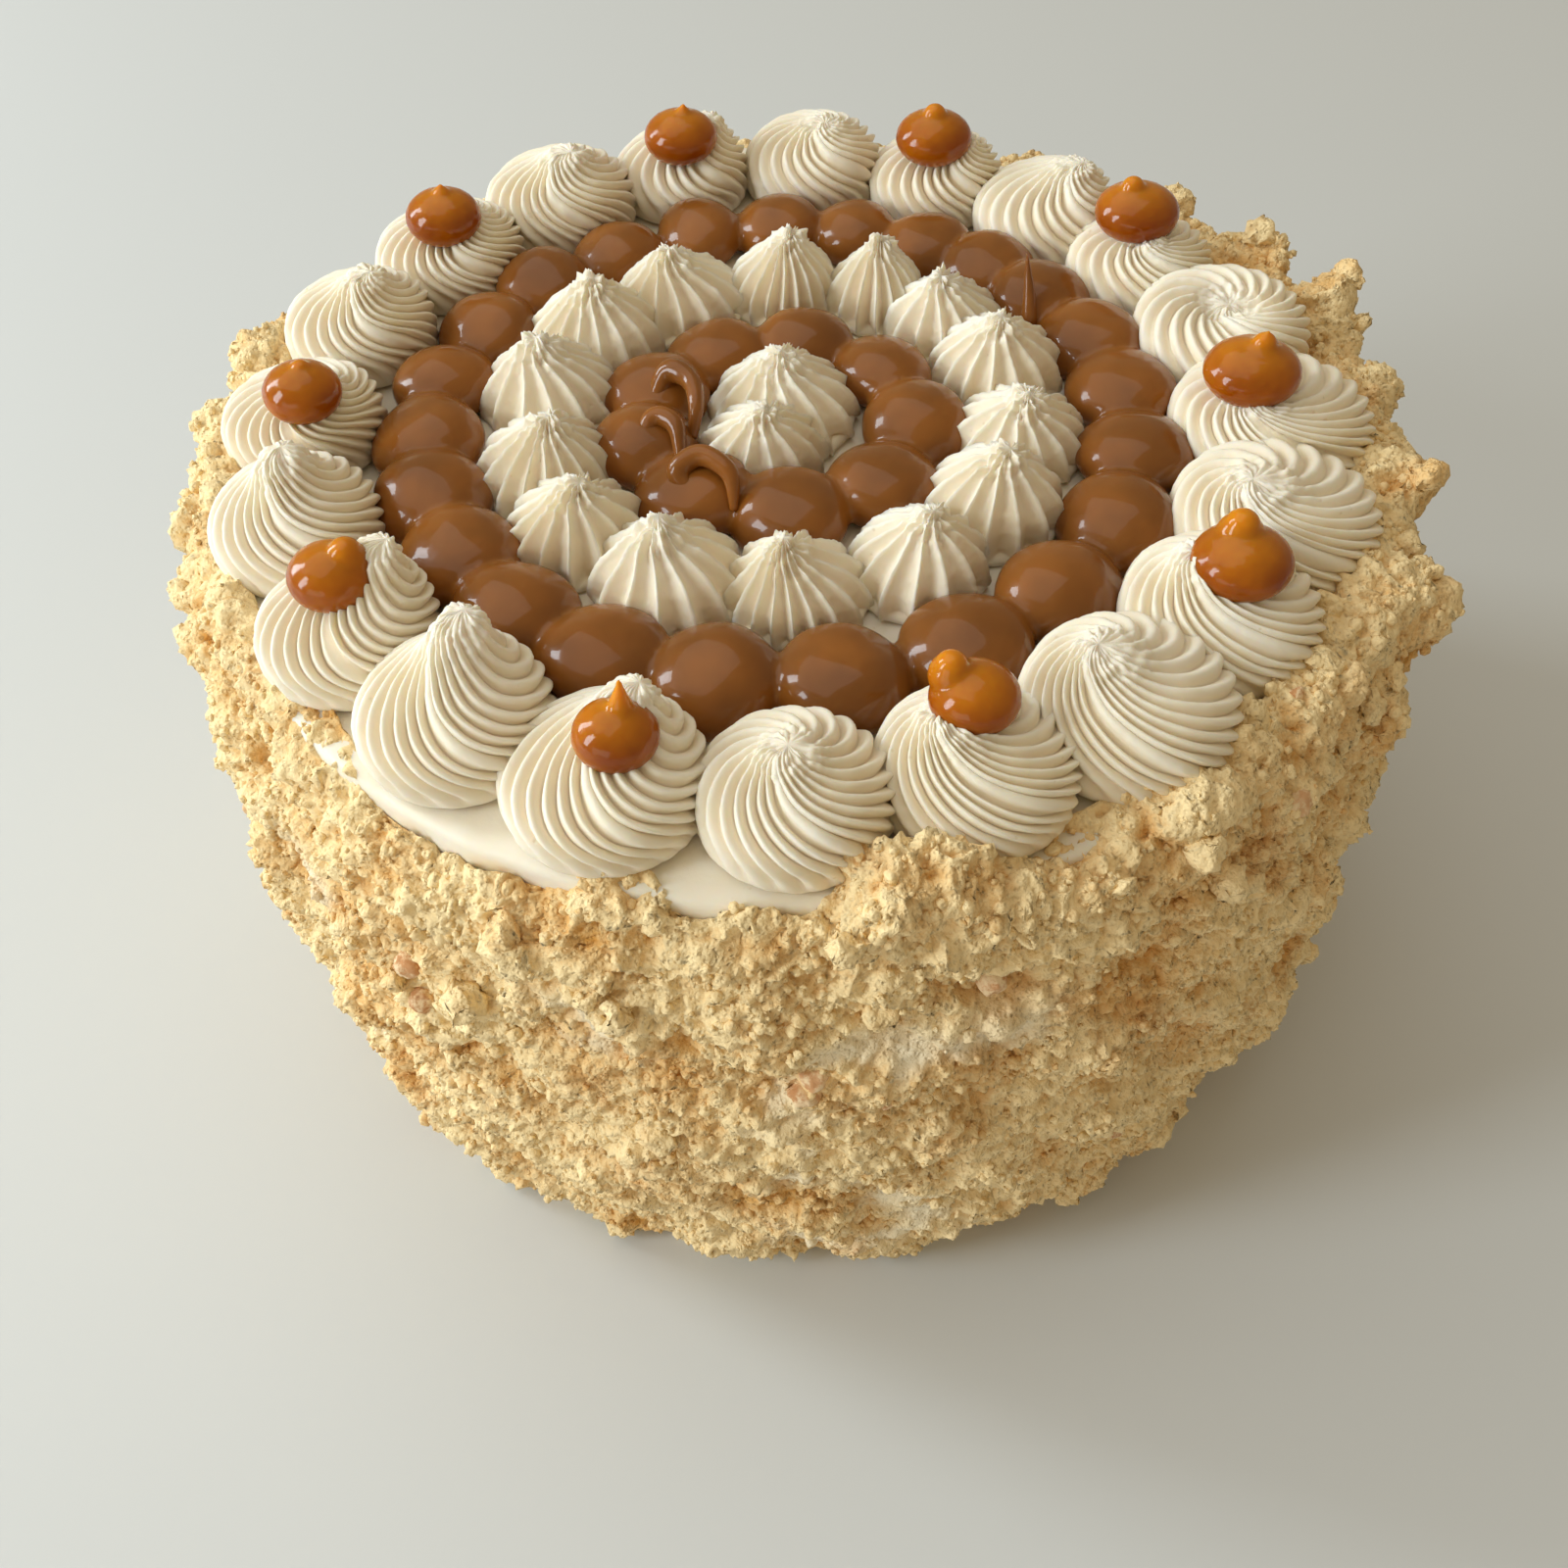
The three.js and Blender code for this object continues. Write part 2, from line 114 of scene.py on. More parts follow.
# %% A recipe that adds nodes to a tree
class Recipe:
    """Adds nodes to one tree: settings first, then the values or wires of the sockets."""

    def __init__(self, tree):
        self.tree = tree

    @staticmethod
    def find(sockets, key):
        if isinstance(key, int):
            return sockets[key]
        return next(s for s in sockets if s.enabled and key in (s.name, s.identifier))

    def node(self, kind, inputs=None, out=0, stops=None, **settings):
        made = self.tree.nodes.new(kind)
        for name, value in settings.items():
            setattr(made, name, value)
        if stops and kind == "ShaderNodeFloatCurve":
            curve = made.mapping.curves[0]
            while len(curve.points) < len(stops):
                curve.points.new(0.5, 0.5)
            for point, place in zip(curve.points, stops):
                point.location = place
            made.mapping.update()
        elif stops:
            while len(made.color_ramp.elements) < len(stops):
                made.color_ramp.elements.new(1)
            for element, (place, colour) in zip(made.color_ramp.elements, stops):
                element.position = place
                element.color = (*colour, 1)
        for key, value in (inputs or {}).items():
            socket = self.find(made.inputs, key)
            if isinstance(value, Wire):
                self.tree.links.new(value.socket, socket)
            else:
                socket.default_value = value
        if not made.outputs:
            return made
        return Wire(self, self.find(made.outputs, out))

    def curve(self, value, stops):
        """A curve through the given stops, from 0 to 1 both ways."""
        return self.node("ShaderNodeFloatCurve", {"Value": value}, stops=stops)

    def vector(self, x, y, z):
        return self.node("ShaderNodeCombineXYZ", {0: x, 1: y, 2: z})

    def vectors(self, operation, first, second):
        return self.node("ShaderNodeVectorMath", {0: first, 1: second}, operation=operation)

    def stretch(self, vector, length):
        return self.node("ShaderNodeVectorMath", {0: vector, "Scale": length}, operation="SCALE")

    def noise(self, place, scale, detail=2.0, rough=0.5, out="Fac"):
        values = {"Vector": place, "Scale": scale, "Detail": detail, "Roughness": rough}
        return self.node("ShaderNodeTexNoise", values, out=out)

    def cells(self, place, scale):
        """How far a place is from the middle of its cell."""
        return self.node("ShaderNodeTexVoronoi", {"Vector": place, "Scale": scale}, out="Distance")

    def mix(self, factor, first, second):
        values = {"Factor": factor, "A": first, "B": second}
        return self.node("ShaderNodeMix", values, out="Result", data_type="RGBA")

    def store(self, geometry, name, value):
        values = {"Geometry": geometry, "Name": name, "Value": value}
        return self.node("GeometryNodeStoreNamedAttribute", values, data_type="FLOAT", domain="POINT")

    def stored(self, name):
        kind = "GeometryNodeInputNamedAttribute"
        return self.node(kind, {"Name": name}, out="Attribute", data_type="FLOAT")

    def grid(self, columns, rows):
        """A flat grid, one unit wide and deep, that a formula then bends into shape."""
        values = {"Size X": 1.0, "Size Y": 1.0, "Vertices X": columns, "Vertices Y": rows}
        return self.node("GeometryNodeMeshGrid", values, out="Mesh")

    def chance(self, low, high, seed):
        kind = "FLOAT_VECTOR" if isinstance(low, tuple) else "FLOAT"
        values = {"Min": low, "Max": high, "Seed": seed}
        return self.node("FunctionNodeRandomValue", values, out="Value", data_type=kind)


# %% [markdown]
# ## Geometry Nodes from a script
# A tree has named inputs, so that one recipe makes many uneven pieces. The modifier is set by each
# socket's identifier and evaluated, and `new_from_object` turns the result into a plain mesh. Then the
# helper object is removed, so that nothing live is left on the finished piece.

# %% Build a geometry tree
SOCKETS = {int: "NodeSocketInt", float: "NodeSocketFloat", tuple: "NodeSocketVector"}


def geometry_recipe(name, inputs):
    """Starts a geometry tree with named inputs; returns the recipe and a wire for each input."""
    tree = bpy.data.node_groups.new(name, "GeometryNodeTree")
    tree.interface.new_socket("Geometry", in_out="INPUT", socket_type="NodeSocketGeometry")
    for label, value in {**inputs, "Finish": None}.items():
        kind = SOCKETS.get(type(value), "NodeSocketMaterial")
        socket = tree.interface.new_socket(label, in_out="INPUT", socket_type=kind)
        if value is not None:
            socket.default_value = value
    tree.interface.new_socket("Geometry", in_out="OUTPUT", socket_type="NodeSocketGeometry")
    recipe = Recipe(tree)
    start = recipe.node("NodeGroupInput")
    return recipe, {label: start.out(label) for label in ("Geometry", *inputs, "Finish")}


def close_recipe(recipe, geometry, finish):
    """Ends a tree: copies made real, smooth shading, the finish, and the way out."""
    real = recipe.node("GeometryNodeRealizeInstances", {"Geometry": geometry})
    smooth = recipe.node("GeometryNodeSetShadeSmooth", {"Geometry": real, "Shade Smooth": True})
    dressed = recipe.node("GeometryNodeSetMaterial", {"Geometry": smooth, "Material": finish})
    recipe.node("NodeGroupOutput", {"Geometry": dressed})
    return recipe.tree


# %% Run a tree and keep its plain mesh
def baked(name, finish, tree=None, settings=None, mesh=None, modifiers=()):
    """Runs a tree, then any modifiers, on a helper object and returns the result as a new object."""
    helper = bpy.data.objects.new(name + "_helper", mesh or bpy.data.meshes.new(name + "_start"))
    bpy.context.scene.collection.objects.link(helper)
    if tree:
        modifier = helper.modifiers.new("Tree", "NODES")
        modifier.node_group = tree
        for item in tree.interface.items_tree:
            if item.in_out == "INPUT" and item.name in (settings or {}):
                modifier[item.identifier] = settings[item.name]
            if item.in_out == "INPUT" and item.name == "Finish":
                modifier[item.identifier] = finish
    for kind, values in modifiers:
        extra = helper.modifiers.new(kind, kind)
        for key, value in values.items():
            setattr(extra, key, value)
    bpy.context.view_layer.update()
    graph = bpy.context.evaluated_depsgraph_get()
    made = bpy.data.meshes.new_from_object(helper.evaluated_get(graph), depsgraph=graph)
    bpy.data.objects.remove(helper)
    made.name = name
    made.materials.clear()
    made.materials.append(finish)
    piece = bpy.data.objects.new(name, made)
    bpy.context.scene.collection.objects.link(piece)
    return piece


def triangles(piece):
    return sum(len(face.vertices) - 2 for face in piece.data.polygons)


def serve(piece, slot, *nodes):
    """Puts a finished piece on the cake: it rides on the body and stands for its nodes."""
    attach(piece, "root")
    if nodes:
        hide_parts(*nodes)
    return piece


# %% [markdown]
# ## The view
# The cake is looked down on from the front at about fifty degrees, with a moderate lens. The camera is
# fixed first, so that every piece can be compared with the picture as soon as it exists.

# %% Camera
EYE = Vector((-5.1, -286.9, 374.1)) * MM
LOOK_AT = Vector((-5.1, -27.9, 60.0)) * MM
ROLL = math.radians(-1.05)
camera = bpy.data.objects.new("view_camera", bpy.data.cameras.new("view_camera"))
camera.data.lens = 39.4
camera.data.clip_start = 0.01
camera.location = EYE
aim = (LOOK_AT - EYE).to_track_quat("-Z", "Y").to_matrix() @ Matrix.Rotation(ROLL, 3, "Z")
camera.rotation_euler = aim.to_euler()
bpy.context.scene.collection.objects.link(camera)
bpy.context.scene.camera = camera
print("camera", round((LOOK_AT - EYE).length, 3), "metres from the middle of the cake")

# %% [markdown]
# ## Light and floor
# The cake stands near a large window on its left. Two tall panes of light on that side give the pale
# streaks on the caramel and the shade on the right. A soft light from above and a weak glow off the
# table open up the top and the foot, and a warm even sky fills the shadows.

# %% Lights, sky and floor
def area_light(name, place, size, power, colour):
    """A rectangular light that looks at the middle of the cake's top."""
    lamp = bpy.data.lights.new(name, "AREA")
    lamp.shape = "RECTANGLE"
    lamp.size, lamp.size_y = size
    lamp.energy = power
    lamp.color = colour
    light = bpy.data.objects.new(name, lamp)
    light.location = place
    light.rotation_euler = (Vector((0, 0, 0.1)) - Vector(place)).to_track_quat("-Z", "Y").to_euler()
    bpy.context.scene.collection.objects.link(light)


area_light("near_pane", (-1.36, -0.52, 0.74), (0.36, 1.0), 14.0, (0.86, 0.96, 1.02))
area_light("far_pane", (-1.42, 0.50, 0.74), (0.36, 1.0), 14.0, (0.86, 0.96, 1.02))
area_light("ceiling_light", (-0.8, 0.6, 2.6), (3.0, 3.0), 23.0, (0.93, 0.98, 1.0))
area_light("table_glow", (-0.8, -1.3, 0.32), (1.0, 0.5), 2.2, (1.0, 0.95, 0.88))

sky = bpy.data.worlds.new("room")
sky.use_nodes = True
sky.node_tree.nodes["Background"].inputs["Color"].default_value = (1.0, 0.84, 0.57, 1)
sky.node_tree.nodes["Background"].inputs["Strength"].default_value = 0.38
bpy.context.scene.world = sky
bpy.context.scene.view_settings.view_transform = "Standard"


def plain_finish(name, colour, rough):
    material = bpy.data.materials.new(name)
    material.use_nodes = True
    shader = material.node_tree.nodes["Principled BSDF"]
    shader.inputs["Base Color"].default_value = (*colour, 1)
    shader.inputs["Roughness"].default_value = rough
    return material


floor_mesh = bpy.data.meshes.new("floor")
floor_mesh.from_pydata([(-4, -4, 0), (4, -4, 0), (4, 4, 0), (-4, 4, 0)], [], [(0, 1, 2, 3)])
floor_mesh.materials.append(plain_finish("pale_table", (0.62, 0.635, 0.635), 0.6))
floor = bpy.data.objects.new("floor", floor_mesh)
bpy.context.scene.collection.objects.link(floor)

# %% [markdown]
# ## Finishes
# Four foods make the cake. The cream is soft and slightly clear, so light bleeds through its ridges. The
# caramel and the jam are wet and glossy, and glow orange where they are thin; at the jam's tails that glow is
# painted into the colour. The crumb is dry and rough, its colour painted pale where it stands out and golden,
# as shade, in its hollows.

# %% Start a food finish
def food_finish(name):
    material = bpy.data.materials.new(name)
    material.use_nodes = True
    recipe = Recipe(material.node_tree)
    shader = material.node_tree.nodes["Principled BSDF"]
    place = recipe.node("ShaderNodeTexCoord", out="Object")
    return material, recipe, shader, place


def wire_in(recipe, shader, socket, wire):
    recipe.tree.links.new(wire.socket, shader.inputs[socket])


def soft_inside(shader, weight, radius, scale):
    """Lets light travel inside the food, further in the colours with a larger radius."""
    shader.inputs["Subsurface Weight"].default_value = weight
    shader.inputs["Subsurface Radius"].default_value = radius
    shader.inputs["Subsurface Scale"].default_value = scale


def set_bump(recipe, shader, height, strength, distance):
    values = {"Height": height, "Strength": strength, "Distance": distance}
    wire_in(recipe, shader, "Normal", recipe.node("ShaderNodeBump", values))


# %% Whipped cream
def cream_finish():
    """Ivory cream in two tones: whiter on its crests and warmer in its furrows, where warm shade is painted
    in, with a few tiny pits that are also painted darker as shade.
    """
    material, recipe, shader, place = food_finish("whipped_cream")
    furrow = recipe.node("ShaderNodeAttribute", attribute_name="furrow", out="Fac")
    patches = recipe.noise(place, 45, 3).rise(0.35, 0.7)
    colour = recipe.mix(patches, (0.845, 0.765, 0.62, 1), (0.875, 0.815, 0.70, 1))
    # Painted warm shade in the furrows, darkest where they are deepest.
    furrow_shaded = recipe.mix(furrow * 0.5, colour, (0.84, 0.67, 0.40, 1))
    # Painted shade: the tiny pits that the bump sinks in are darkened in colour too.
    pit = (1 - recipe.cells(place, 420).rise(0.06, 0.2)) * recipe.noise(place, 90, 1).rise(0.62, 0.68)
    wire_in(recipe, shader, "Base Color", recipe.mix(pit * 0.35, furrow_shaded, (0.62, 0.47, 0.28, 1)))
    grain = recipe.noise(place, 900, 3, 0.6) * 0.5 + recipe.noise(place, 260, 2) * 0.8 - pit * 0.8
    set_bump(recipe, shader, grain, 0.22, 0.0006)
    shader.inputs["Roughness"].default_value = 0.5
    shader.inputs["Specular IOR Level"].default_value = 0.38
    soft_inside(shader, 0.28, (1.0, 0.62, 0.28), 0.003)
    return material


# %% Milk caramel
def caramel_finish():
    material, recipe, shader, place = food_finish("milk_caramel")
    marbling = recipe.noise(place, 70, 2).rise(0.3, 0.7)
    colour = recipe.mix(marbling, (0.20, 0.068, 0.011, 1), (0.285, 0.097, 0.015, 1))
    wire_in(recipe, shader, "Base Color", colour)
    waves = recipe.noise(place, 150, 2) * 0.9 + recipe.noise(place, 45, 2) * 2.0
    set_bump(recipe, shader, waves, 0.16, 0.002)
    shader.inputs["Roughness"].default_value = 0.26
    shader.inputs["Specular IOR Level"].default_value = 0.14
    shader.inputs["Coat Weight"].default_value = 0.45
    shader.inputs["Coat Roughness"].default_value = 0.03
    soft_inside(shader, 0.2, (1.0, 0.32, 0.1), 0.003)
    return material


# %% Lucuma jam
TAIL_HEIGHTS = (0.159, 0.169)


def jam_finish():
    material, recipe, shader, place = food_finish("lucuma_jam")
    depth = recipe.noise(place, 110, 2).rise(0.3, 0.75)
    body = recipe.mix(depth, (0.26, 0.052, 0.001, 1), (0.40, 0.108, 0.002, 1))
    # A drop is thin at its tail, so the light comes through it there: above these heights that glow is
    # painted into its colour.
    thin = recipe.node("ShaderNodeSeparateXYZ", {0: place}).out("Z").rise(*TAIL_HEIGHTS)
    wire_in(recipe, shader, "Base Color", recipe.mix(thin * 0.8, body, (0.78, 0.30, 0.006, 1)))
    set_bump(recipe, shader, recipe.noise(place, 240, 2), 0.2, 0.001)
    shader.inputs["Roughness"].default_value = 0.22
    shader.inputs["Specular IOR Level"].default_value = 0.1
    shader.inputs["Coat Weight"].default_value = 0.5
    shader.inputs["Coat Roughness"].default_value = 0.03
    soft_inside(shader, 0.6, (1.0, 0.4, 0.03), 0.004)
    return material


# %% Sponge crumb
PALE_SPONGE = (0.95, 0.738, 0.405)
GOLDEN_SPONGE_AND_SHADE = (0.73, 0.38, 0.095)


def crumb_finish():
    """Dry sponge with cream smears and specks of crust: painted pale on its high points and golden in its
    hollows as shade, with golden patches at random too.
    """
    material, recipe, shader, place = food_finish("sponge_crumb")
    height = recipe.node("ShaderNodeAttribute", attribute_name="crumb_height", out="Fac")
    smear = recipe.node("ShaderNodeAttribute", attribute_name="cream_smear", out="Fac")
    fine = recipe.noise(place, 700, 3, 0.65)
    patches = recipe.noise(place, 42, 3, 0.6)
    # Painted shade: the coat's height makes the hollows golden and the high points pale; the two noises vary
    # the tone at random.
    tone_and_shade = (height + (fine - 0.5) * 0.8 + (patches - 0.5) * 1.7 + 0.09).clamp()
    middle = [0.5 * (a + b) for a, b in zip(PALE_SPONGE, GOLDEN_SPONGE_AND_SHADE)]
    stops = [(0.0, GOLDEN_SPONGE_AND_SHADE), (0.36, middle), (0.72, PALE_SPONGE)]
    sponge = recipe.node("ShaderNodeValToRGB", {"Fac": tone_and_shade}, out="Color", stops=stops)
    toasted = recipe.noise(place, 36, 3, 0.6).rise(0.58, 0.70) * fine.rise(0.35, 0.6) * 0.8
    browned = recipe.mix(toasted, sponge, (0.64, 0.33, 0.10, 1))
    smeared = recipe.mix(smear, browned, (0.93, 0.82, 0.60, 1))
    speck = recipe.cells(place, 130).math("LESS_THAN", 0.045) * recipe.noise(place, 37, 1).rise(0.62, 0.66)
    wire_in(recipe, shader, "Base Color", recipe.mix(speck * 0.8, smeared, (0.16, 0.07, 0.03, 1)))
    pores = recipe.cells(place, 900).rise(0.0, 0.5) * 0.7 + fine * 1.2 + (1 - recipe.cells(place, 480)) * 1.1
    set_bump(recipe, shader, pores, 0.7, 0.0008)
    shader.inputs["Roughness"].default_value = 0.85
    shader.inputs["Specular IOR Level"].default_value = 0.2
    return material


cream, caramel, jam, crumb = cream_finish(), caramel_finish(), jam_finish(), crumb_finish()


# %% Baked crust
def crust_finish():
    """A broken piece of the sponge's own crust: pinkish brown, pale where it is torn."""
    material, recipe, shader, place = food_finish("baked_crust")
    torn = recipe.noise(place, 420, 3, 0.7).rise(0.42, 0.62)
    patches = recipe.noise(place, 90, 2).rise(0.4, 0.6)
    crusty = recipe.mix(patches, (0.55, 0.26, 0.10, 1), (0.76, 0.47, 0.25, 1))
    wire_in(recipe, shader, "Base Color", recipe.mix(torn, crusty, (0.84, 0.63, 0.38, 1)))
    set_bump(recipe, shader, recipe.noise(place, 800, 3, 0.6), 0.5, 0.0006)
    shader.inputs["Roughness"].default_value = 0.8
    return material


crust = crust_finish()
print("finishes:", [m.name for m in (cream, caramel, jam, crumb, crust)])

# %% [markdown]
# ## The crumb coat
# The baker presses loose sponge crumb on to the cream of the sides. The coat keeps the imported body's
# own outline: a fine grid stands round the drum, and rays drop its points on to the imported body.
# Noises and cells of several sizes then break it into clumps, crumbs and pores, and a slow noise leaves
# smears where the cream shows. One mesh would be too heavy, so it is cut into wedges, as a cake is.

# %% Sizes of the coat
WEDGES = 4
WEDGE_COLUMNS = 324
COAT_ROWS = 256
OVERLAP = math.radians(2.6)
cap_low, cap_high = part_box("cream_cap")
cap_middle = (cap_low + cap_high) / 2
cap_radius = (cap_high.x - cap_low.x) / 2
TOP = cap_high.z
SEAT = cap_low.z - 0.3 * MM
# Cream smears show between these heights, and on the left and in front, up to this far to the right.
SMEARS_START, SMEARS_END, SMEARS_RIGHT = (0.014, 0.034), (0.104, 0.120), (0.035, 0.06)
# How bare the rim is of crumbs, and how high they are heaped on it, as (angle in degrees, share) and
# (angle in degrees, height in mm), once round the cake. In front a strip of cream shows, with one tongue
# of crumbs across it.
BARES = [
    (0, 0), (221, 0), (229, 0.5), (234, 1), (246, 1), (250, 0.3), (257, 0.2), (260, 1), (269, 1), (273, 0.2),
    (277, 0), (360, 0)]
# The curve holds heights from SINK below the rim to HEAP above it, in mm.
HEAP, SINK = 11.0, 4.0
HEAPS = [
    (0, 3), (5, 5), (12, 2), (18, 9), (23, 4), (28, 6), (36, 1), (50, -1), (75, -4), (105, -4), (135, -4),
    (152, -2), (166, 5), (171, 1), (177, 4), (183, 1), (190, 4), (198, 1), (208, 3), (220, 2), (230, 0),
    (248, 0), (253, 3), (258, 2), (261, 0), (269, 0), (273, 4), (279, 11), (285, 6), (291, 2), (296, 2),
    (303, 6), (311, 2), (322, 2), (336, 6), (342, 3), (349, 7), (355, 3), (360, 3)]
print("cream top at", round(TOP / MM, 1), "mm, its radius", round(cap_radius / MM, 1), "mm")


# %% Crumb coat tree
def coat_tree():
    recipe, given = geometry_recipe("Crumb coat", {
        "Start": 0.0, "Span": 1.6, "Columns": 10, "Rows": 10, "Crag": 0.0030})
    node, vector, vectors, stretch = recipe.node, recipe.vector, recipe.vectors, recipe.stretch
    grid = recipe.grid(given["Columns"], given["Rows"])
    flat = node("ShaderNodeSeparateXYZ", {0: node("GeometryNodeInputPosition")})
    across, up = flat + 0.5, flat.out("Y") + 0.5
    column = node("ShaderNodeMath", {0: 1.0, 1: given["Columns"] - 1}, operation="DIVIDE")
    hub = (abs(flat) + column * 0.5).math("GREATER_THAN", 0.5)
    angle = given["Start"] + given["Span"] * ((across - column) / (1 - 2 * column)).clamp()
    outward = vector(angle.cos(), angle.sin(), 0.0)
    # Up the section: underside, side, rounded rim, the lip that laps over the cream, and down into it.
    side, rim, lap = ((up - 0.03) / 0.77).clamp(), ((up - 0.80) / 0.12).clamp(), ((up - 0.92) / 0.045).clamp()
    down, home = ((up - 0.965) / 0.015).clamp(), ((up - 0.98) / 0.02).clamp()
    # Rays come in from outside towards a spine that stops 18.5 mm under the top, so that the last of them
    # fan out over the rounded rim.
    tilt = rim * (math.pi / 2)
    aim = vectors("ADD", stretch(outward, tilt.cos()), vector(0.0, 0.0, tilt.sin()))
    spine = vectors("ADD", stretch(outward, cap_middle.x * angle.cos() + cap_radius + 0.0016),
                    vector(0.0, 0.0, side * (TOP - 0.0185) + 0.0006))
    ray = {"Target Geometry": node("GeometryNodeObjectInfo", {"Object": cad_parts["cake_body"]},
                                   out="Geometry"),
           "Source Position": vectors("ADD", spine, stretch(aim, 0.05)),
           "Ray Direction": stretch(aim, -1.0), "Ray Length": 0.07}
    landed = node("GeometryNodeRaycast", ray, out="Hit Position")
    spot = node("ShaderNodeSeparateXYZ", {0: landed})
    under = (up / 0.03).clamp()
    foot = under.math("LESS_THAN", 0.999)
    skin = vector(spot * under, spot.out("Y") * under, spot.out("Z") * (1 - foot))
    # Where the rim isn't bare, the crumbs reach in to the piping.
    turn = (angle / (2 * math.pi)).math("FRACT")
    bare = recipe.curve(turn, [(side_angle / 360, share) for side_angle, share in BARES])
    stops = [(side_angle / 360, (rise + SINK) / (HEAP + SINK)) for side_angle, rise in HEAPS]
    heap = recipe.curve(turn, stops) * ((HEAP + SINK) / HEAP) - SINK / HEAP
    ragged = recipe.noise(stretch(outward, 1.0), 7, 3, 0.6) - 0.5
    inner = stretch(outward, cap_radius + 0.0003 - (0.0058 + ragged * 0.008 + heap * 0.003) * (1 - bare))
    wall = vectors("ADD", inner, vector(cap_middle.x, 0.0, 0.0))
    lip = vectors("ADD", wall, vector(0.0, 0.0, spot.out("Z") * bare + (TOP + 0.0012) * (1 - bare)))
    seat_edge = vectors("ADD", wall, vector(0.0, 0.0, SEAT))

    def blend(factor, first, second):
        values = {"Factor": factor, "A": first, "B": second}
        return node("ShaderNodeMix", values, out="Result", data_type="VECTOR")

    heaped = up.rise(0.77, 0.90) * (1 - up.rise(0.945, 0.965) * 0.55) * (1 - down) * heap * (HEAP * MM)
    outer = vectors("ADD", blend(lap, skin, lip), vector(0.0, 0.0, heaped))
    section = blend(home, blend(down, outer, seat_edge), (cap_middle.x, 0.0, SEAT))
    section = blend(hub, section, vectors("ADD", stretch(outward, 0.05), vector(0.0, 0.0, 0.05)))
    outside = (up.rise(0.03, 0.05) * (1 - up.rise(0.955, 0.964))) * (1 - hub)
    kept = recipe.store(grid, "coat_side", outside)
    placed = node("GeometryNodeSetPosition", {"Geometry": kept, "Position": section})
    merged = node("GeometryNodeMergeByDistance", {"Geometry": placed, "Distance": 0.00001})
    mask = recipe.stored("coat_side")
    here = node("GeometryNodeInputPosition")
    soft = node("GeometryNodeBlurAttribute", {"Value": here, "Iterations": 14, "Weight": mask},
                data_type="FLOAT_VECTOR")
    rounded = node("GeometryNodeSetPosition", {"Geometry": merged, "Position": soft})
    # Noises and cells of several sizes, on a place that is itself pushed about, so that none is regular.
    push = vectors("SUBTRACT", recipe.noise(here, 130, 2, out="Color"), (0.5, 0.5, 0.5))
    warped = vectors("ADD", here, stretch(push, 0.009))
    aside = node("ShaderNodeSeparateXYZ", {0: here})
    level = aside.out("Z")
    smear = recipe.noise(here, 27, 3, 0.6).rise(0.54, 0.64) * level.rise(*SMEARS_START) * mask
    smear = smear * (1 - level.rise(*SMEARS_END)) * (1 - aside.rise(*SMEARS_RIGHT))
    layered = vectors("MULTIPLY", warped, (1.0, 1.0, 1.7))
    drifts = recipe.noise(layered, 34, 2)
    clumps = (1 - recipe.cells(layered, 95)) * recipe.noise(here, 50, 2).rise(0.3, 0.7)
    torn = recipe.noise(warped, 170, 5, 0.74)
    grains, pores = 1 - recipe.cells(warped, 310), recipe.cells(warped, 620)
    knots = recipe.noise(layered, 72, 2, 0.55)
    height = (drifts - 0.5) * 1.7 + (knots - 0.5) * 1.5 + clumps * 0.4 + (torn - 0.5) * 1.15
    height = height + (grains - 0.5) * 0.55 + (pores - 0.4) * 0.35
    crumbly = height * (1 - smear * 0.85) - smear * 0.10
    # The height goes to the crumb finish, which uses it to paint golden shade into the low places.
    stored = recipe.store(rounded, "crumb_height", (crumbly * 0.62 + 0.46).clamp())
    stored = recipe.store(stored, "cream_smear", smear)
    lift = stretch(node("GeometryNodeInputNormal"), crumbly * given["Crag"] * mask * 1.6)
    scatter = vectors("SUBTRACT", recipe.noise(here, 330, 2, out="Color"), (0.5, 0.5, 0.5))
    shift = vectors("ADD", lift, stretch(scatter, mask * (1 - smear * 0.8) * 0.0032))
    broken = node("GeometryNodeSetPosition", {"Geometry": stored, "Offset": shift})
    final = node("ShaderNodeSeparateXYZ", {0: here})
    grounded = vector(final, final.out("Y"), final.out("Z").math("MAXIMUM", 0.0))
    settled = node("GeometryNodeSetPosition", {"Geometry": broken, "Position": grounded})
    return close_recipe(recipe, settled, given["Finish"])


# %% Bake the wedges
coat_recipe = coat_tree()
coat = []
for number in range(WEDGES):
    span = 2 * math.pi / WEDGES
    settings = {"Start": number * span - OVERLAP, "Span": span + 2 * OVERLAP,
                "Columns": WEDGE_COLUMNS, "Rows": COAT_ROWS, "Crag": 3.0 * MM}
    wedge = baked(f"crumb_coat_{number + 1}", crumb, coat_recipe, settings)
    coat.append(serve(wedge, "sponge_crumb", "cake_body"))
print("coat wedges:", [triangles(wedge) for wedge in coat], "triangles")

# %% [markdown]
# ## Loose crumbs
# Grains of every size cling to the coat, and they give the side its broken outline. Each kind is one
# tree: points are scattered over the coat, a rough little grain stands on each, and a last noise
# pushes every corner, so that no two grains are alike.

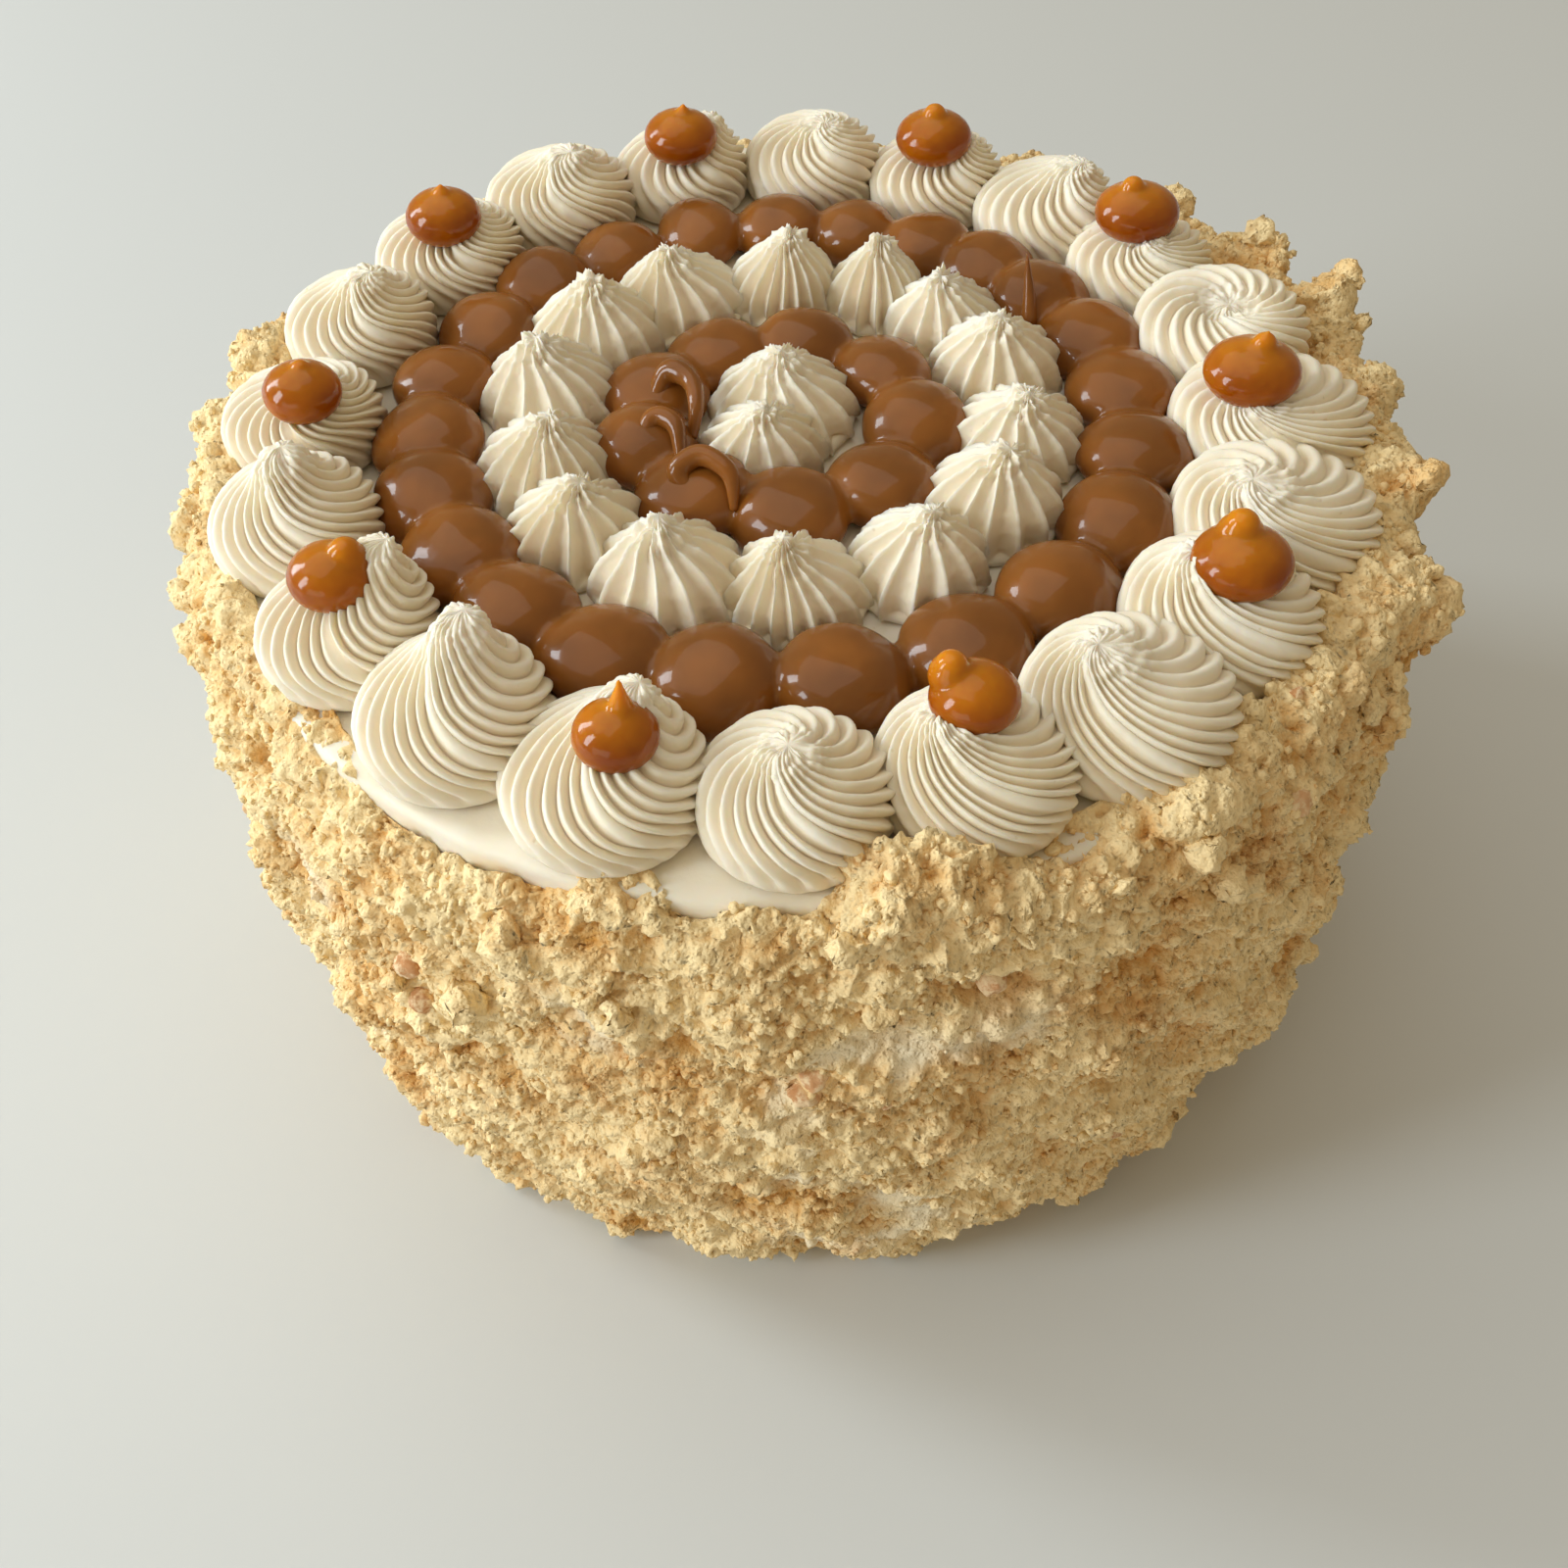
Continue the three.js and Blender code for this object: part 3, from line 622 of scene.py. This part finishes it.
# %% Loose crumb tree
def crumb_tree():
    recipe, given = geometry_recipe("Loose crumbs", {
        "Density": 1000.0, "Seed": 1, "Small": (0.5, 0.5, 0.5), "Large": (1.0, 1.0, 1.0), "Rough": 0.001,
        "Roughness Scale": 500.0, "Tumble": 1.0, "Bareness": 1.0, "Rim": 0.0, "Cuts": 3, "Tone": 0.7})
    node, vectors, stretch = recipe.node, recipe.vectors, recipe.stretch
    side = recipe.stored("coat_side").math("GREATER_THAN", 0.5)
    clear = 1 - recipe.stored("cream_smear") * given["Bareness"]
    spot = node("ShaderNodeSeparateXYZ", {0: node("GeometryNodeInputPosition")})
    rim = spot.out("Z").rise(0.112, 0.130) * (spot * 7.0 + 0.55).clamp()
    gathered = recipe.noise(node("GeometryNodeInputPosition"), 75, 2).rise(0.36, 0.62) * 1.5 + 0.25
    points = node("GeometryNodeDistributePointsOnFaces", {
        "Mesh": given["Geometry"], "Selection": side, "Seed": given["Seed"],
        "Density": given["Density"] * clear * gathered * (1 + rim * given["Rim"])}, out="Points")
    # Each grain keeps part of the coat's height under it, for the same painted shade, and is lifted paler by
    # its Tone and a random share.
    tone_and_shade = recipe.stored("crumb_height") * 0.55 + recipe.chance(-0.12, 0.2, 5) + given["Tone"]
    toned = recipe.store(points, "crumb_height", tone_and_shade)
    block = node("GeometryNodeMeshCube", {
        "Size": (1.0, 1.0, 1.0), "Vertices X": given["Cuts"], "Vertices Y": given["Cuts"],
        "Vertices Z": given["Cuts"]}, out="Mesh")
    corner = node("GeometryNodeInputPosition")
    ball = stretch(node("ShaderNodeVectorMath", {0: corner}, operation="NORMALIZE"), 0.5)
    grain = node("GeometryNodeSetPosition", {"Geometry": block, "Position": ball})
    size = stretch(recipe.chance(given["Small"], given["Large"], 4), MM)
    sown = node("GeometryNodeInstanceOnPoints", {
        "Points": toned, "Instance": grain, "Rotation": points.out("Rotation"), "Scale": size})
    turn = stretch(recipe.chance((-1.6, -1.6, -3.1), (1.6, 1.6, 3.1), 3), given["Tumble"])
    tumbled = node("GeometryNodeRotateInstances", {"Instances": sown, "Rotation": turn})
    real = node("GeometryNodeRealizeInstances", {"Geometry": tumbled})
    push = recipe.noise(node("GeometryNodeInputPosition"), given["Roughness Scale"], 2, out="Color")
    rough = stretch(vectors("SUBTRACT", push, (0.5, 0.5, 0.5)), given["Rough"])
    broken = node("GeometryNodeSetPosition", {"Geometry": real, "Offset": rough})
    grounded = recipe.vector(spot, spot.out("Y"), spot.out("Z").math("MAXIMUM", 0.0))
    settled = node("GeometryNodeSetPosition", {"Geometry": broken, "Position": grounded})
    return close_recipe(recipe, settled, given["Finish"])


# %% Scatter the crumbs
def joined_mesh(name, pieces):
    """One helper mesh of several pieces, for a scatter that has to see them all."""
    copies = [bpy.data.objects.new(name, piece.data.copy()) for piece in pieces]
    for copy in copies:
        bpy.context.scene.collection.objects.link(copy)
    with bpy.context.temp_override(active_object=copies[0], selected_editable_objects=copies):
        bpy.ops.object.join()
    mesh = copies[0].data
    bpy.data.objects.remove(copies[0])
    return mesh


CRUMB_KINDS = {
    "fine_crumbs": dict(Density=58000.0, Small=(0.8, 0.8, 0.7), Large=(2.2, 2.2, 1.8), Rough=1.3 * MM,
                        Seed=1, Cuts=2, **{"Roughness Scale": 900.0}, Bareness=0.85, Tone=0.2),
    "crumbs": dict(Density=15300.0, Small=(1.3, 1.3, 1.1), Large=(3.2, 3.2, 2.7), Rough=2.1 * MM,
                   Seed=2, Cuts=3, **{"Roughness Scale": 560.0}, Bareness=1.0, Tone=0.25),
    "sponge_lumps": dict(Density=340.0, Small=(4.5, 4.5, 3.6), Large=(9.0, 9.0, 7.0), Rough=6.5 * MM,
                         Seed=3, Cuts=7, Rim=6.0, **{"Roughness Scale": 330.0}, Bareness=1.0, Tone=0.3),
}
whole_coat = joined_mesh("whole_coat", coat)
crumb_recipe = crumb_tree()
for name, settings in CRUMB_KINDS.items():
    scatter = baked(name, crumb, crumb_recipe, settings, mesh=whole_coat)
    serve(scatter, "sponge_crumb")
    print(name, triangles(scatter), "triangles")
flakes = baked("crust_flakes", crust, crumb_recipe, dict(
    Density=150.0, Small=(3.0, 3.0, 1.2), Large=(9.0, 7.0, 2.6), Rough=3.4 * MM, Seed=9, Cuts=7, Tumble=0.2,
    **{"Roughness Scale": 330.0}, Bareness=0.6, Tone=0.6), mesh=whole_coat)
serve(flakes, "sponge_crumb")
print("crust_flakes", triangles(flakes), "triangles")

# %% [markdown]
# ## Piping
# Swirls, kisses and the smooth top are all turned shapes: a section that runs from the middle of the
# foot, up the side, to the tip. One tree draws such a section as curves, spins it, and cuts furrows into
# it along its own surface. A round nozzle's rope gives round crests with thin furrows, and a
# star nozzle pulled straight up gives thin crests with wide furrows, so one number blends the two.

# %% Piping tree
def piped_tree(name, reach_stops, body_stops, peak_stops, sweep_stops, depth_stops):
    recipe, given = geometry_recipe(name, {
        "Middle": (0.0, 0.0, 0.0), "Columns": 177, "Rows": 46, "Radius": 0.019, "Body": 0.0146, "Peak": 0.0,
        "Lean": (0.0, 0.0, 0.0), "Ridges": 22.0, "Depth": 0.0011, "Sharp": 0.0, "Sweep": 2.0, "Turn": 0.0,
        "Step": 0.0, "Bunch": 0.2, "Rag": 0.0004, "Wobble": 0.0006})
    node, vector, vectors, stretch = recipe.node, recipe.vector, recipe.vectors, recipe.stretch
    grid = recipe.grid(given["Columns"], given["Rows"])
    flat = node("ShaderNodeSeparateXYZ", {0: node("GeometryNodeInputPosition")})
    angle, up = (flat + 0.5) * (2 * math.pi), flat.out("Y") + 0.5
    bearing = angle + given["Bunch"] * angle.sin()
    bearing = bearing + given["Sweep"] * recipe.curve(up, sweep_stops) + given["Turn"]
    wave = angle * given["Ridges"] * 0.5
    crest = abs(wave.cos())
    crest = crest + (1 - abs(wave.sin()) ** 0.8 - crest) * given["Sharp"]
    furrow = (1 - crest) * recipe.curve(up, depth_stops)
    saw = (angle / (2 * math.pi) + 0.5).math("FRACT")
    ramp = 0.5 - (saw - saw.rise(0.955, 1.0))
    lift = given["Step"] * ramp * recipe.curve(up, [(0, 0), (0.2, 0.2), (0.42, 1), (0.8, 0.8), (1, 0)])
    kept = recipe.store(recipe.store(grid, "furrow", furrow), "along", up)
    share = recipe.curve(up, reach_stops)
    reach = share * given["Radius"]
    height = recipe.curve(up, body_stops) * given["Body"]
    height = height + recipe.curve(up, peak_stops) * given["Peak"] + lift
    form = vectors("ADD", vector(reach * bearing.cos(), reach * bearing.sin(), height), given["Middle"])
    form = vectors("ADD", form, stretch(given["Lean"], (1 - share) * up.rise(0.08, 0.22)))
    placed = node("GeometryNodeSetPosition", {"Geometry": kept, "Position": form})
    merged = node("GeometryNodeMergeByDistance", {"Geometry": placed, "Distance": 0.00001})
    here, along = node("GeometryNodeInputPosition"), recipe.stored("along")
    side = along.rise(0.04, 0.12)
    near_tip = along.rise(0.62, 0.92)
    ragged = (recipe.noise(here, 900, 3, 0.6) - 0.5) * (0.45 + near_tip) * side
    ragged = (ragged + (recipe.noise(here, 380, 3, 0.6) - 0.5) * near_tip * 4.0) * given["Rag"]
    wobble = (recipe.noise(here, 120, 2) - 0.5) * given["Wobble"] * side
    cut = ragged + wobble - recipe.stored("furrow") * given["Depth"]
    offset = stretch(node("GeometryNodeInputNormal"), cut)
    ridged = node("GeometryNodeSetPosition", {"Geometry": merged, "Offset": offset})
    return close_recipe(recipe, ridged, given["Finish"])


# %% [markdown]
# ## Cream top
# A smooth layer of cream covers the top. It is the same turned shape with no furrows, very flat and
# a little uneven, as a palette knife leaves it.

# %% Cream top
top_recipe = piped_tree(
    "Smooth top",
    reach_stops=[(0, 0), (0.3, 0.995), (0.34, 1.0), (0.40, 1.0), (0.44, 0.99), (0.48, 0.965), (1, 0)],
    body_stops=[(0, 0), (0.3, 0), (0.34, 0.2), (0.40, 0.75), (0.44, 0.94), (0.48, 1.0), (1, 1)],
    peak_stops=[(0, 0), (1, 0)], sweep_stops=[(0, 0), (1, 0)], depth_stops=[(0, 0), (1, 0)])
top = baked("cream_top", cream, top_recipe, {
    "Middle": (cap_middle.x, cap_middle.y, cap_low.z), "Columns": 181, "Rows": 64, "Radius": cap_radius,
    "Body": cap_high.z - cap_low.z, "Depth": 0.0, "Rag": 0.0, "Wobble": 1.2 * MM})
serve(top, "cream", "cream_cap")
print("cream top", triangles(top), "triangles")

# %% [markdown]
# ## Rim swirls
# Twenty swirls stand round the rim. Each is a rope of cream, piped in a turn and a half that ends in
# the middle, so its furrows wind outwards. Some end low and open, some in a ragged peak, and every
# second one is pressed down by its dollop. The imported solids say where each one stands.

# %% Rim swirls
swirl_recipe = piped_tree(
    "Rim swirl",
    reach_stops=[(0, 0), (0.03, 0.86), (0.06, 0.93), (0.14, 1.0), (0.26, 0.99), (0.38, 0.90), (0.55, 0.67),
                 (0.72, 0.42), (0.86, 0.28), (0.95, 0.16), (1, 0)],
    body_stops=[(0, 0), (0.03, 0), (0.06, 0.03), (0.14, 0.25), (0.26, 0.52), (0.38, 0.75), (0.55, 0.93),
                (0.75, 1.0), (0.9, 1.0), (1, 1.0)],
    peak_stops=[(0, 0), (0.45, 0), (0.6, 0.12), (0.72, 0.36), (0.86, 0.78), (0.95, 0.96), (1, 1)],
    sweep_stops=[(0, 1), (0.1, 0.95), (0.38, 0.68), (0.7, 0.3), (1, 0)],
    depth_stops=[(0, 0), (0.05, 0), (0.16, 0.75), (0.4, 1), (0.66, 0.85), (0.84, 0.4), (0.95, 0.15), (1, 0)])

SWIRLS = 20
swirl_names = [f"rim_swirl_{number + 1:02d}" for number in range(SWIRLS)]
swirl_boxes = [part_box(name) for name in swirl_names]
swirl_middles = [(low + high) / 2 for low, high in swirl_boxes]
# How each swirl ends, from the front one round: height of its peak and how far the peak sits off the
# middle, to the right and to the back, in mm, how far its furrows wind, in degrees, and its half width.
ENDINGS = [
    (3.0, (-1.0, 1.5), 105, 17.8), (4.0, (-6.5, 3.0), 125, 18.4), (3.2, (-6.4, 4.0), 120, 20.2),
    (5.0, (-6.5, 3.0), 115, 19.2), (2.6, (-6.5, -1.0), 125, 20.8), (1.5, (-7.0, -5.0), 110, 21.2),
    (-2.6, (1.0, 1.0), 110, 19.4), (1.5, (0.0, -4.0), 110, 16.6), (3.6, (8.0, 1.0), 115, 16.8),
    (3.0, (7.0, -1.0), 110, 16.2), (2.0, (3.0, 0.0), 115, 16.8), (5.5, (8.0, 2.0), 120, 16.4),
    (4.6, (4.0, -1.0), 125, 18.0), (3.5, (7.0, 0.0), 130, 17.4), (5.6, (5.0, -1.0), 130, 16.8),
    (4.6, (8.0, -4.0), 135, 17.2), (8.0, (0.5, 2.5), 140, 17.2), (8.5, (9.5, 6.0), 150, 17.6),
    (11.0, (4.0, 7.0), 155, 18.2), (9.0, (7.0, 7.0), 150, 18.8)]
NARROW_SIDE = math.radians(-20)
draw = random.Random(5)
for number, (name, middle) in enumerate(zip(swirl_names, swirl_middles)):
    peak, (right, back), sweep, half_width = ENDINGS[number]
    ridges = draw.choice((19, 20, 21))
    swirl = baked(name, cream, swirl_recipe, {
        "Middle": (middle.x, middle.y, swirl_boxes[number][0].z), "Radius": half_width * MM,
        "Columns": 8 * ridges + 1, "Rows": 52, "Ridges": float(ridges), "Body": (14.8 - (number % 2)) * MM,
        "Peak": peak * MM, "Lean": (right * MM, back * MM, 0.0), "Sweep": math.radians(sweep),
        "Turn": NARROW_SIDE - math.pi - math.radians(sweep) + draw.uniform(-0.3, 0.3), "Step": 2.2 * MM,
        "Depth": 2.1 * MM, "Bunch": draw.uniform(0.28, 0.42), "Rag": 0.9 * MM})
    serve(swirl, "cream", name)
    swirl.name = "piped_" + name
print(SWIRLS, "swirls of", triangles(swirl), "triangles")

# %% [markdown]
# ## Star kisses
# Fourteen kisses make the inner ring and two fill the middle. A star nozzle held still and pulled up
# leaves thin fins that lean a little as they climb, and a torn tip.

# %% Star kisses
kiss_recipe = piped_tree(
    "Star kiss",
    reach_stops=[(0, 0), (0.04, 0.88), (0.08, 0.96), (0.18, 1.0), (0.32, 0.96), (0.48, 0.81), (0.62, 0.60),
                 (0.76, 0.38), (0.88, 0.20), (0.96, 0.11), (1, 0.0)],
    body_stops=[(0, 0), (0.04, 0), (0.08, 0.02), (0.18, 0.13), (0.32, 0.31), (0.48, 0.52), (0.62, 0.67),
                (0.76, 0.81), (0.88, 0.93), (0.96, 0.99), (1, 1)],
    peak_stops=[(0, 0), (1, 0)],
    sweep_stops=[(0, 1), (0.2, 0.85), (0.6, 0.75), (0.85, 0.2), (1, 0)],
    depth_stops=[(0, 0), (0.05, 0.1), (0.16, 1), (0.45, 0.85), (0.75, 0.45), (0.95, 0.2), (1, 0)])

KISSES = 14
kiss_names = [f"cream_kiss_{number + 1:02d}" for number in range(KISSES)]
kiss_boxes = [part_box(name) for name in kiss_names]
kiss_middles = [(low + high) / 2 for low, high in kiss_boxes]


# From the front one round: the baker pressed some harder than others.
KISS_GROWTHS = [0.9, 0.93, 1.0, 0.98, 1.06, 1.1, 0.88, 0.88, 0.98, 1.05, 1.02, 1.0, 1.02, 1.0]


def star_kiss(name, box, room):
    middle, height = (box[0] + box[1]) / 2, box[1].z - box[0].z
    lean = draw.uniform(0, 2 * math.pi)
    ridges = draw.choice((14, 15, 16))
    kiss = baked(name, cream, kiss_recipe, {
        "Middle": (middle.x, middle.y, box[0].z), "Columns": 10 * ridges + 1, "Rows": 42,
        "Radius": 0.66 * room, "Body": height * draw.uniform(0.86, 1.0), "Ridges": float(ridges),
        "Depth": draw.uniform(3.0, 3.8) * MM, "Sharp": 0.9, "Turn": draw.uniform(0, 6), "Rag": 1.9 * MM,
        "Lean": (2.4 * MM * math.cos(lean), 2.4 * MM * math.sin(lean), 0.0), "Sweep": draw.uniform(0.25, 0.7),
        "Bunch": draw.uniform(0.05, 0.3), "Wobble": 1.8 * MM})
    serve(kiss, "cream", name)
    kiss.name = "piped_" + name
    return kiss


for number, name in enumerate(kiss_names):
    middle = kiss_middles[number]
    before, after = kiss_middles[number - 1], kiss_middles[(number + 1) % KISSES]
    room = ((middle - before).length + (middle - after).length) / 2
    kiss = star_kiss(name, kiss_boxes[number], room * KISS_GROWTHS[number])
for name in ("centre_kiss_front", "centre_kiss_back"):
    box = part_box(name)
    star_kiss(name, box, (box[1].x - box[0].x) * 0.70)
print(KISSES + 2, "kisses of", triangles(kiss), "triangles")

# %% [markdown]
# ## Soft drops
# Caramel and jam are thick liquids: where two drops touch, they run together. A mesh of overlapping balls
# does the same when a voxel remesh joins them and a little smoothing rounds the creases.

# %% Balls that run together
import bmesh


def balls_mesh(name, balls):
    """One mesh of stretched balls, each given by its middle and its three half sizes."""
    mesh, shape = bpy.data.meshes.new(name), bmesh.new()
    for middle, size in balls:
        place = Matrix.Translation(middle) @ Matrix.Diagonal((*size, 1.0))
        bmesh.ops.create_icosphere(shape, subdivisions=3, radius=1.0, matrix=place)
    shape.to_mesh(mesh)
    shape.free()
    return mesh


def run_together(voxel, rounds):
    """The two modifiers that join drops: a remesh with cells of so many millimetres, then smoothing."""
    return [("REMESH", dict(mode="VOXEL", voxel_size=voxel * MM, use_smooth_shade=True)),
            ("SMOOTH", dict(factor=0.5, iterations=rounds))]


# %% [markdown]
# ## Caramel beads
# Two rings of caramel, thick enough to hold as beads but soft enough to sink into each other. Points are
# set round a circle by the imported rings' own rule, a flattened ball stands on each, and a voxel
# remesh joins them with a crease, as two soft drops meet.

# %% Bead ring tree
def bead_tree():
    recipe, given = geometry_recipe("Caramel beads", {
        "Count": 9, "Ring": 0.0285, "Middle": (0.0, 0.0, 0.0), "Start": 0.0, "Wave": 0.0, "Wave Side": 0.0,
        "Ripple": 0.0, "Ripple Side": 0.0, "Width": 0.0195, "Height": 0.011, "Fuller": 0.0, "Floor": 0.14,
        "Seed": 1})
    node, vector, vectors, stretch = recipe.node, recipe.vector, recipe.vectors, recipe.stretch
    circle = node("GeometryNodeMeshCircle", {"Vertices": given["Count"], "Radius": 1.0})
    index = node("GeometryNodeInputIndex")
    even = given["Start"] + index * (2 * math.pi) / given["Count"]
    angle = even + given["Wave"] * (even - given["Wave Side"]).cos()
    angle = angle + given["Ripple"] * (even * 2 - given["Ripple Side"]).cos()
    at = stretch(vector(angle.cos(), angle.sin(), 0.0), given["Ring"])
    at = vectors("ADD", at, given["Middle"])
    ring = node("GeometryNodeSetPosition", {"Geometry": circle, "Position": at})
    step = given["Ring"] * (2 * math.pi) / given["Count"]
    nearness = 1 - given["Wave"] * (even - given["Wave Side"]).sin()
    long = step * nearness * recipe.chance(0.56, 0.62, given["Seed"])
    # The beads at the front came out of the bag fuller than those at the sides.
    full = 1 - angle.sin() * given["Fuller"]
    size = vector(given["Width"] * recipe.chance(0.55, 0.61, 2) * full, long,
                  given["Height"] * recipe.chance(0.58, 0.66, 3) * full)
    ball = node("GeometryNodeMeshIcoSphere", {"Radius": 1.0, "Subdivisions": 5}, out="Mesh")
    heading = angle + recipe.chance(-0.3, 0.3, 7)
    tilted = vector(recipe.chance(-0.16, 0.16, 4), recipe.chance(-0.16, 0.16, 6), heading)
    beads = node("GeometryNodeInstanceOnPoints", {
        "Points": ring, "Instance": ball, "Rotation": tilted, "Scale": size})
    real = node("GeometryNodeRealizeInstances", {"Geometry": beads})
    spot = node("ShaderNodeSeparateXYZ", {0: node("GeometryNodeInputPosition")})
    settled = vector(spot, spot.out("Y"), spot.out("Z").math("MAXIMUM", given["Floor"]))
    here = node("GeometryNodeInputPosition")
    swollen = (recipe.noise(here, 46, 1) - 0.5) * 0.0030
    lumpy = node("GeometryNodeSetPosition", {
        "Geometry": real, "Offset": stretch(node("GeometryNodeInputNormal"), swollen)})
    flattened = node("GeometryNodeSetPosition", {"Geometry": lumpy, "Position": settled})
    return close_recipe(recipe, flattened, given["Finish"])


# %% Bead rings
PIPING_MIDDLE = (-4.5 * MM, 0.0, TOP + 3.8 * MM)
bead_recipe = bead_tree()
# Beads, radius in mm, angle of the first bead, two slow waves in the spacing as (degrees, where it is
# strongest), and the width and height of a bead in mm.
RINGS = {
    "caramel_ring_outer": (23, 73.6, 264.2, (6.5, 5), (3.2, -24), 20.4, 12.0),
    "caramel_ring_inner": (9, 28.2, 276.1, (4.1, 50), (2.1, -73), 19.2, 11.6)}
for name, (count, ring, start, wave, ripple, width, height) in RINGS.items():
    beads = baked("piped_" + name, caramel, bead_recipe, {
        "Count": count, "Ring": ring * MM, "Middle": PIPING_MIDDLE, "Start": math.radians(start),
        "Wave": math.radians(wave[0]), "Wave Side": math.radians(wave[1]), "Ripple": math.radians(ripple[0]),
        "Ripple Side": math.radians(ripple[1]), "Width": width * MM, "Height": height * MM, "Fuller": 0.07,
        "Floor": TOP + 0.3 * MM}, modifiers=run_together(0.78, 4))
    serve(beads, "caramel", name)
    print(name, triangles(beads), "triangles")

# %% [markdown]
# ## Caramel curls
# Where the nozzle was lifted, the caramel fell back on its bead as a ribbon, and in one place it stands up as
# a thin tail. Each curl is a chain of small balls along a bent line, thin at its ends.

# %% Caramel curls
# Points of each curl as (x, y, z, half thickness), in mm.
CURLS = [
    [(-19, -28, 147, 1.5), (-25, -23, 151, 2.3), (-20.5, -20.8, 154, 2.3), (-14.8, -25, 153, 1.9),
     (-14, -29.6, 148, 1.0)],
    [(-31, 6, 147, 1.8), (-27.5, 9.5, 151.5, 2.6), (-23, 5.5, 152, 2.2), (-21.8, -1.5, 151, 1.7),
     (-22.6, -6, 147, 1.2)],
    [(-34, -12, 147, 1.6), (-30.5, -5.5, 151, 2.3), (-26, -8, 151.5, 2.0), (-25, -14, 148, 1.2)],
    [(51, 33, 146, 1.9), (50.8, 36, 151, 1.4), (50.4, 38, 155, 0.8), (50, 39, 158.5, 0.4)]]


def bent_line(points, steps):
    """Even steps along a smooth line through the points (a Catmull-Rom spline)."""
    ends = [points[0], *points, points[-1]]
    for step in range(steps):
        place = step * (len(points) - 1) / (steps - 1)
        first = min(int(place), len(points) - 2)
        t = place - first
        yield [0.5 * (2 * b + (c - a) * t + (2 * a - 5 * b + 4 * c - d) * t * t
                      + (3 * b - a - 3 * c + d) * t ** 3)
               for a, b, c, d in zip(*ends[first:first + 4])]


BALLS_A_CURL = 30
strings = [(Vector((x, y, z)) * MM, [thick * MM] * 3)
           for curl in CURLS for x, y, z, thick in bent_line(curl, BALLS_A_CURL)]
curl_balls = balls_mesh("curl_balls", strings)
curls = baked("caramel_curls", caramel, mesh=curl_balls, modifiers=run_together(0.46, 3))
serve(curls, "caramel")
print("caramel curls", triangles(curls), "triangles")

# %% [markdown]
# ## Jam dollops
# A spoon leaves a fat round drop of jam that runs up into a tail. A few balls and a tapering chain of
# smaller ones are joined by a fine voxel remesh and smoothed, so that they flow into one another.

# %% Jam dollops
# For each dollop, in mm: where its second lump sits, to the right of, behind and above the middle of the
# belly, the lump's half size, and how far the tail stands above it.
DOLLOPS = {
    2: (-4.2, 2.0, 3.6, 4.0, 0.0), 4: (-0.5, 3.2, 3.4, 4.6, 0.0), 6: (1.5, 1.0, 4.2, 3.2, 1.5),
    8: (-1.5, 1.0, 3.6, 3.4, 0.4), 10: (0.0, 0.5, 3.4, 3.6, 0.0), 12: (0.8, 1.0, 3.4, 2.6, 1.6),
    14: (0.3, 0.5, 3.4, 2.8, 1.6), 16: (0.6, 0.8, 3.2, 2.8, 0.8), 18: (3.4, 1.0, 2.2, 4.4, 0.4),
    20: (1.2, 1.4, 4.0, 2.8, 5.0)}
TAIL_BALLS = 9
for number, (right, back, above, lump, tail) in DOLLOPS.items():
    name = f"lucuma_dollop_{number:02d}"
    low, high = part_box(name)
    width, height = (high.x - low.x) / 2, high.z - low.z
    belly = Vector(((low.x + high.x) / 2, (low.y + high.y) / 2, low.z + 0.40 * height))
    knob = belly + Vector((right, back, above)) * MM
    balls = [(belly, (width, width * 0.95, 0.49 * height)),
             (belly.lerp(knob, 0.5), (0.62 * width, 0.6 * width, 0.36 * height)), (knob, [lump * MM] * 3)]
    for step in range(TAIL_BALLS):
        share = step / (TAIL_BALLS - 1)
        rise = 0.5 * lump + tail * share + 0.3 * lump * share
        at = knob + Vector((0.2 * right * share, 0.2 * share, rise)) * MM
        balls.append((at, [(0.62 * lump * (1 - share) ** 1.3 + 0.55) * MM] * 3))
    dollop = baked("jam_" + name, jam, mesh=balls_mesh(name + "_balls", balls),
                   modifiers=run_together(0.44, 5))
    serve(dollop, "lucuma_jam", name)
print(len(DOLLOPS), "dollops of", triangles(dollop), "triangles")

# %% Sizes of the whole cake
everything = [piece for piece in bpy.context.scene.objects if piece.type == "MESH" and not piece.hide_render]
print("whole cake:", sum(triangles(piece) for piece in everything), "triangles")
